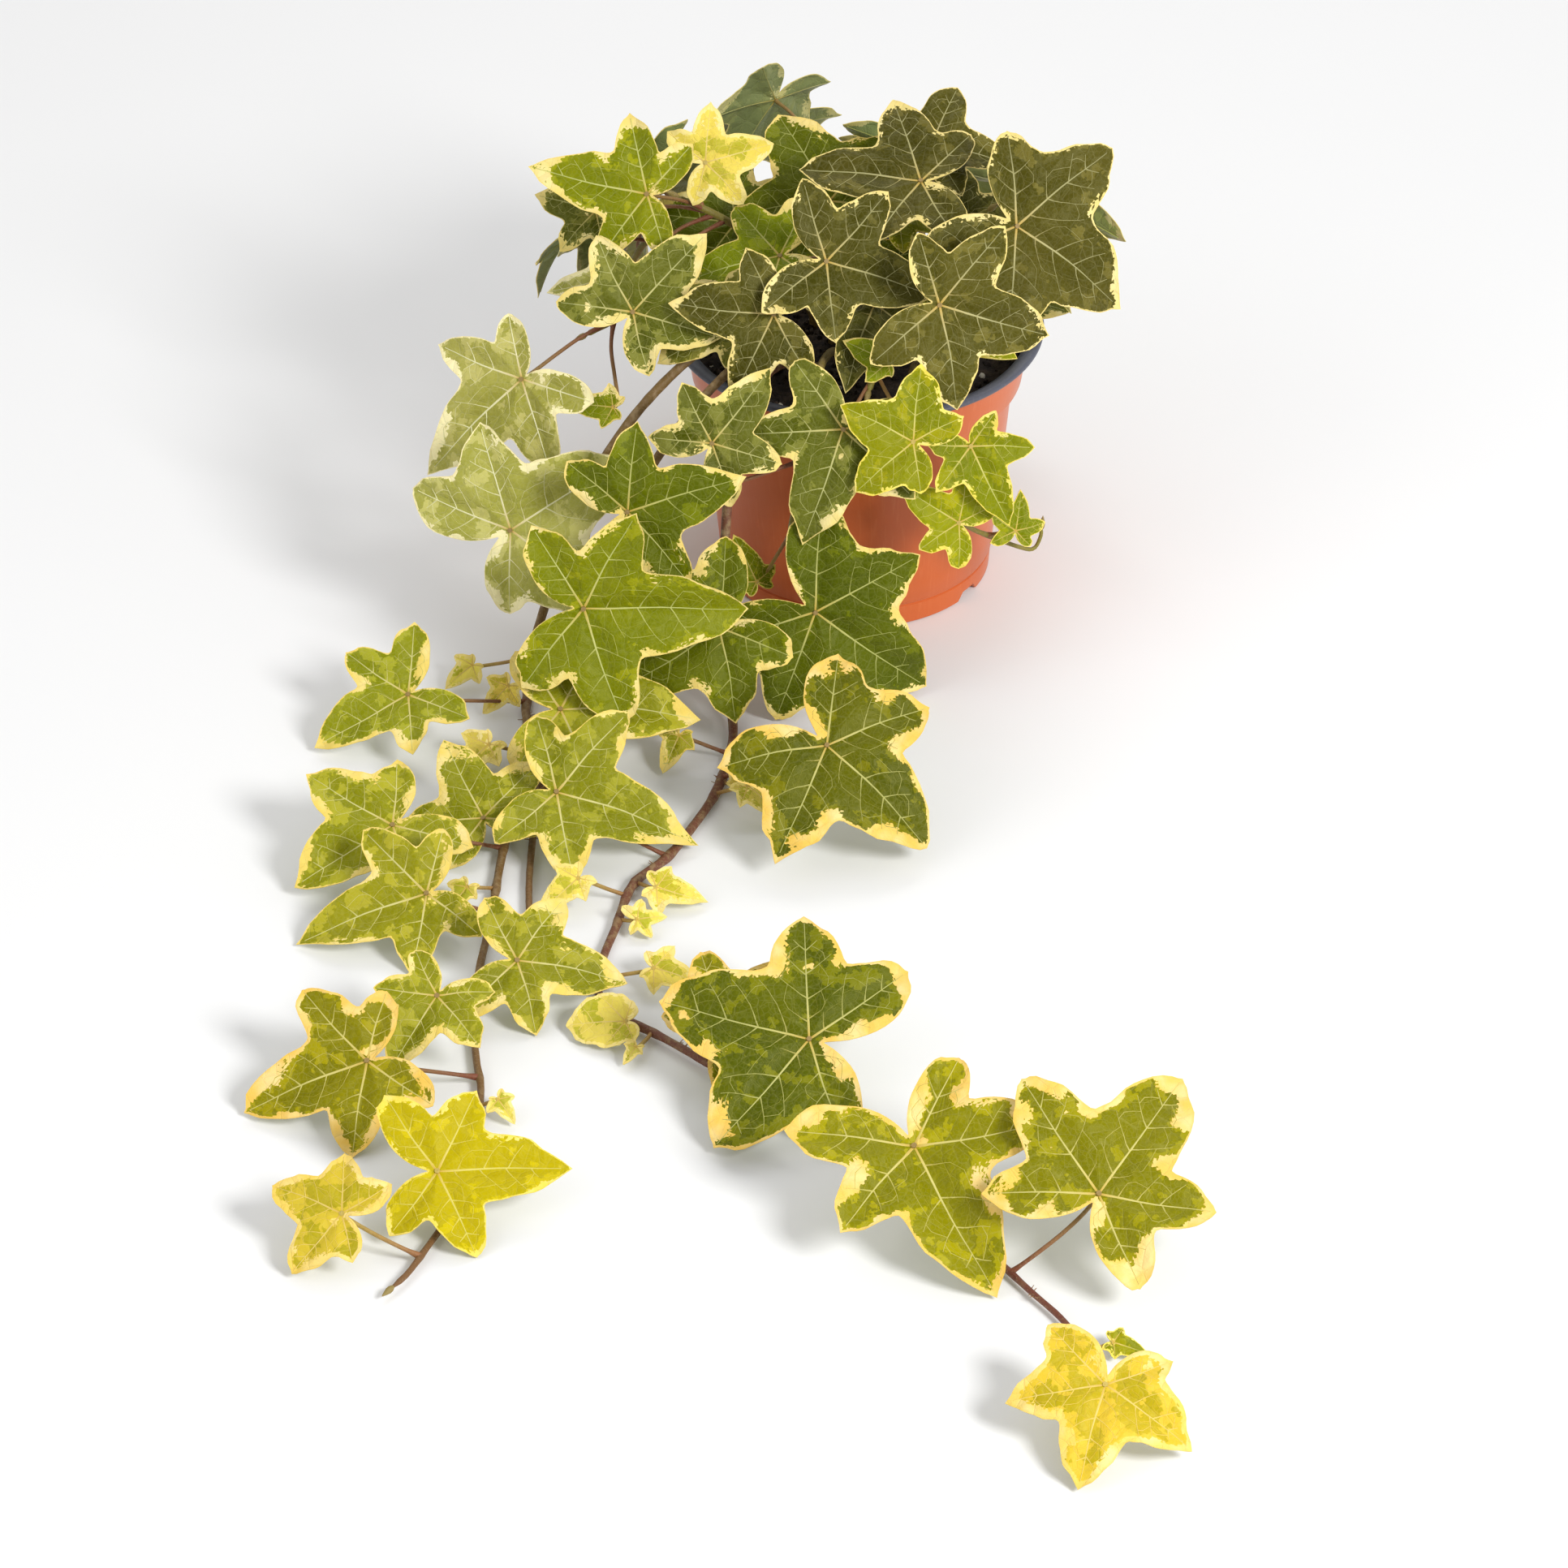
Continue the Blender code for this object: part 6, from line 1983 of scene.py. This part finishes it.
@dataclass
class Soil:
    """The compost: rough clods on top, crumbs, and pale grains."""

    sizes: SoilSizes
    pot: PotSizes
    shift: Vector
    around: int = 110
    rings: int = 44
    crumbs: int = 620
    grains: int = 46
    spread: float = 50.5
    dark: tuple = (0.02, 0.013, 0.009)
    pale: tuple = srgb(196, 188, 172)
    seed: int = 12

    def height(self, x: float, y: float) -> float:
        """Height of the rough top at a place, in mm.

        Args:
            x: The place across.
            y: The place in depth.

        Returns:
            The height.
        """
        r = math.hypot(x, y)
        base = self.sizes.edge_z + self.sizes.rise * (1 - (r / 52.0) ** 2)
        coarse = noise.noise(Vector((x * 0.10, y * 0.10, 3.1))) * 1.3
        fine = noise.noise(Vector((x * 0.42, y * 0.42, 8.4))) * 0.9
        grit = noise.noise(Vector((x * 1.3, y * 1.3, 1.7))) * 0.45
        return base - 0.8 + (coarse + fine + grit) * min(1.0, (52.5 - r) / 4.0 + 0.2)

    def build(self, finish: bpy.types.Material) -> bpy.types.Object:
        """Build the soil with its crumbs.

        Args:
            finish: Its material.

        Returns:
            The soil.
        """
        rng = random.Random(self.seed)
        side = self.sizes.outline(self.pot)[:6]
        top_r = side[-1][0]
        top = [(top_r * (1 - i / self.rings), 0.0) for i in range(1, self.rings)] + [(0.0, 0.0)]
        verts, faces = turned_mesh(side + top, self.around)
        for p in verts[1 + (len(side) - 1) * self.around:]:
            p.z = self.height(p.x, p.y)
        mesh = FineMesh("compost")
        mesh.add(verts, faces, tint=self.dark, grit=0.0)
        for k in range(self.crumbs + self.grains):
            grain = k >= self.crumbs
            turn, r = rng.uniform(0, math.tau), self.spread * math.sqrt(rng.random())
            x, y = r * math.cos(turn), r * math.sin(turn)
            size = rng.uniform(0.7, 1.3) if grain else rng.uniform(0.4, 1.5)
            tint = self.pale if grain else self.dark
            self.add_crumb(mesh, Vector((x, y, self.height(x, y) + size * 0.25)), size, rng,
                           tint, 1.0 if grain else 0.0)
        return mesh.make(self.shift, [finish], SOIL_SHARP)

    def add_crumb(self, mesh: FineMesh, at: Vector, size: float, rng: random.Random,
                  tint: tuple, grit: float) -> None:
        """Add one lump, a rough ball of a few faces.

        Args:
            mesh: The piece that takes it.
            at: Its middle.
            size: Its radius, in mm.
            rng: Source of the draws.
            tint: Its colour.
            grit: 1 where that colour shows.
        """
        verts, faces = [], []
        rows, sides = 4, 6
        stretch = Vector([rng.uniform(0.6, 1.2) for _ in range(3)])
        spin = Matrix.Rotation(rng.uniform(0, math.tau), 3, "Z")
        for i in range(1, rows):
            lean = math.pi * i / rows
            for k in range(sides):
                turn = math.tau * k / sides
                p = Vector((math.sin(lean) * math.cos(turn), math.sin(lean) * math.sin(turn),
                            math.cos(lean))) * rng.uniform(0.75, 1.1) * size
                verts.append(at + spin @ Vector([p[n] * stretch[n] for n in range(3)]))
        top, low = len(verts), len(verts) + 1
        verts += [at + Vector((0, 0, size * 0.9)), at - Vector((0, 0, size * 0.9))]
        for k in range(sides):
            j = (k + 1) % sides
            faces.append((top, k, j))
            last = (rows - 2) * sides
            faces.append((low, last + j, last + k))
            for i in range(rows - 2):
                a, b = i * sides + k, i * sides + j
                faces.append((a, a + sides, b + sides, b))
        mesh.add(verts, faces, tint=tint, grit=grit)


# Lights: name, place from the target in metres, width in metres and power in watts.
LIGHTS = (
    ("key", (0.85, -0.95, 1.0), 0.5, 19.5),
    ("fill", (-1.15, -0.7, 0.8), 1.3, 4.4),
    ("back", (0.1, 1.1, 1.2), 1.0, 5.0),
)

# Where the camera looks, in metres from the foot of the pot's axis.
TARGET = Vector((-0.0235, -0.196, 0.045))


@dataclass
class Studio:
    """Pale floor, soft lights and the camera. Sizes in metres, the camera's rise in degrees."""

    target: Vector
    rise: float = 35.0
    distance: float = 1.8
    frame_width: float = 0.468
    floor_size: float = 8.0
    floor_z: float = -0.0004
    surround: float = 0.52

    def build(self) -> None:
        """Build floor, lights, world and camera."""
        self.floor()
        self.lights()
        self.world()
        self.camera()

    def floor(self) -> None:
        """A plain pale floor."""
        n = Nodes("studio_floor", 0.9)
        where = n.add("ShaderNodeNewGeometry").outputs["Position"]
        n.link(n.mix(n.noise(where, 3.0), (0.90, 0.90, 0.90), (0.93, 0.93, 0.93)),
               n.shader.inputs["Base Color"])
        half, z = self.floor_size / 2, self.floor_z
        mesh = bpy.data.meshes.new("studio_floor")
        mesh.from_pydata([(-half, -half, z), (half, -half, z), (half, half, z), (-half, half, z)],
                         [], [(0, 1, 2, 3)])
        mesh.materials.append(n.mat)
        floor = bpy.data.objects.new("studio_floor", mesh)
        bpy.context.scene.collection.objects.link(floor)

    def lights(self) -> None:
        """A large soft key from the upper right front, a fill from the left and one behind."""
        for name, where, size, power in LIGHTS:
            data = bpy.data.lights.new(name, "AREA")
            data.shape = "DISK"
            data.size = size
            data.energy = power
            ob = bpy.data.objects.new(name, data)
            ob.location = self.target + Vector(where)
            look = self.target - ob.location
            ob.rotation_euler = look.to_track_quat("-Z", "Y").to_euler()
            bpy.context.scene.collection.objects.link(ob)

    def world(self) -> None:
        """An even white surround, and colours shown as they are."""
        bpy.context.scene.view_settings.view_transform = "Standard"
        world = bpy.data.worlds.new("surround")
        world.use_nodes = True
        back = world.node_tree.nodes["Background"]
        back.inputs["Color"].default_value = (1.0, 1.0, 1.0, 1.0)
        back.inputs["Strength"].default_value = self.surround
        bpy.context.scene.world = world

    def camera(self) -> None:
        """The camera, looking along +Y and down on the plant."""
        data = bpy.data.cameras.new("camera")
        ob = bpy.data.objects.new("camera", data)
        rise = math.radians(self.rise)
        look = Vector((0, math.cos(rise), -math.sin(rise)))
        ob.location = self.target - look * self.distance
        ob.rotation_euler = look.to_track_quat("-Z", "Y").to_euler()
        data.sensor_width = 36.0
        data.lens = data.sensor_width * self.distance / self.frame_width
        data.clip_start = 0.05
        bpy.context.scene.collection.objects.link(ob)
        bpy.context.scene.camera = ob


def keep(piece: bpy.types.Object, node: str) -> None:
    """Let a piece ride on the root and stand for its node.

    Args:
        piece: The piece.
        node: Its node.
    """
    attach(piece, "root")
    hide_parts(node)
    log.info("%s: %d faces, stands for %s", piece.name, len(piece.data.polygons), node)


def main() -> None:
    """Build the pot, the soil and each leafy stem, and set up the studio."""
    low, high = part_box("pot")
    shift = Vector(((low[0] + high[0]) / 2, (low[1] + high[1]) / 2, low[2]))
    sizes, soil = PotSizes(), SoilSizes()
    pot = Pot(sizes, shift).build([TERRACOTTA.make(), SLATE.make()])
    keep(pot, "pot")
    keep(Soil(soil, sizes, shift).build(SoilFinish().make()), "soil")
    leaf_skins = [LeafFinish().make(), VeinFinish().make()]
    bark = [BarkFinish().make()]
    leaves = PlantPlan(sizes, soil).leaves()
    log.info("%d leaves planned", len(leaves))
    for plan in STEMS:
        stem = LeafyStem(plan, [item for item in leaves if item[0].stem == plan.name], shift)
        keep(stem.build_leaves(leaf_skins), plan.name)
        keep(stem.build_stem(bark), plan.name)
    Studio(shift + TARGET).build()


if __name__ == "__main__":
    logging.basicConfig(level=logging.INFO)
    main()
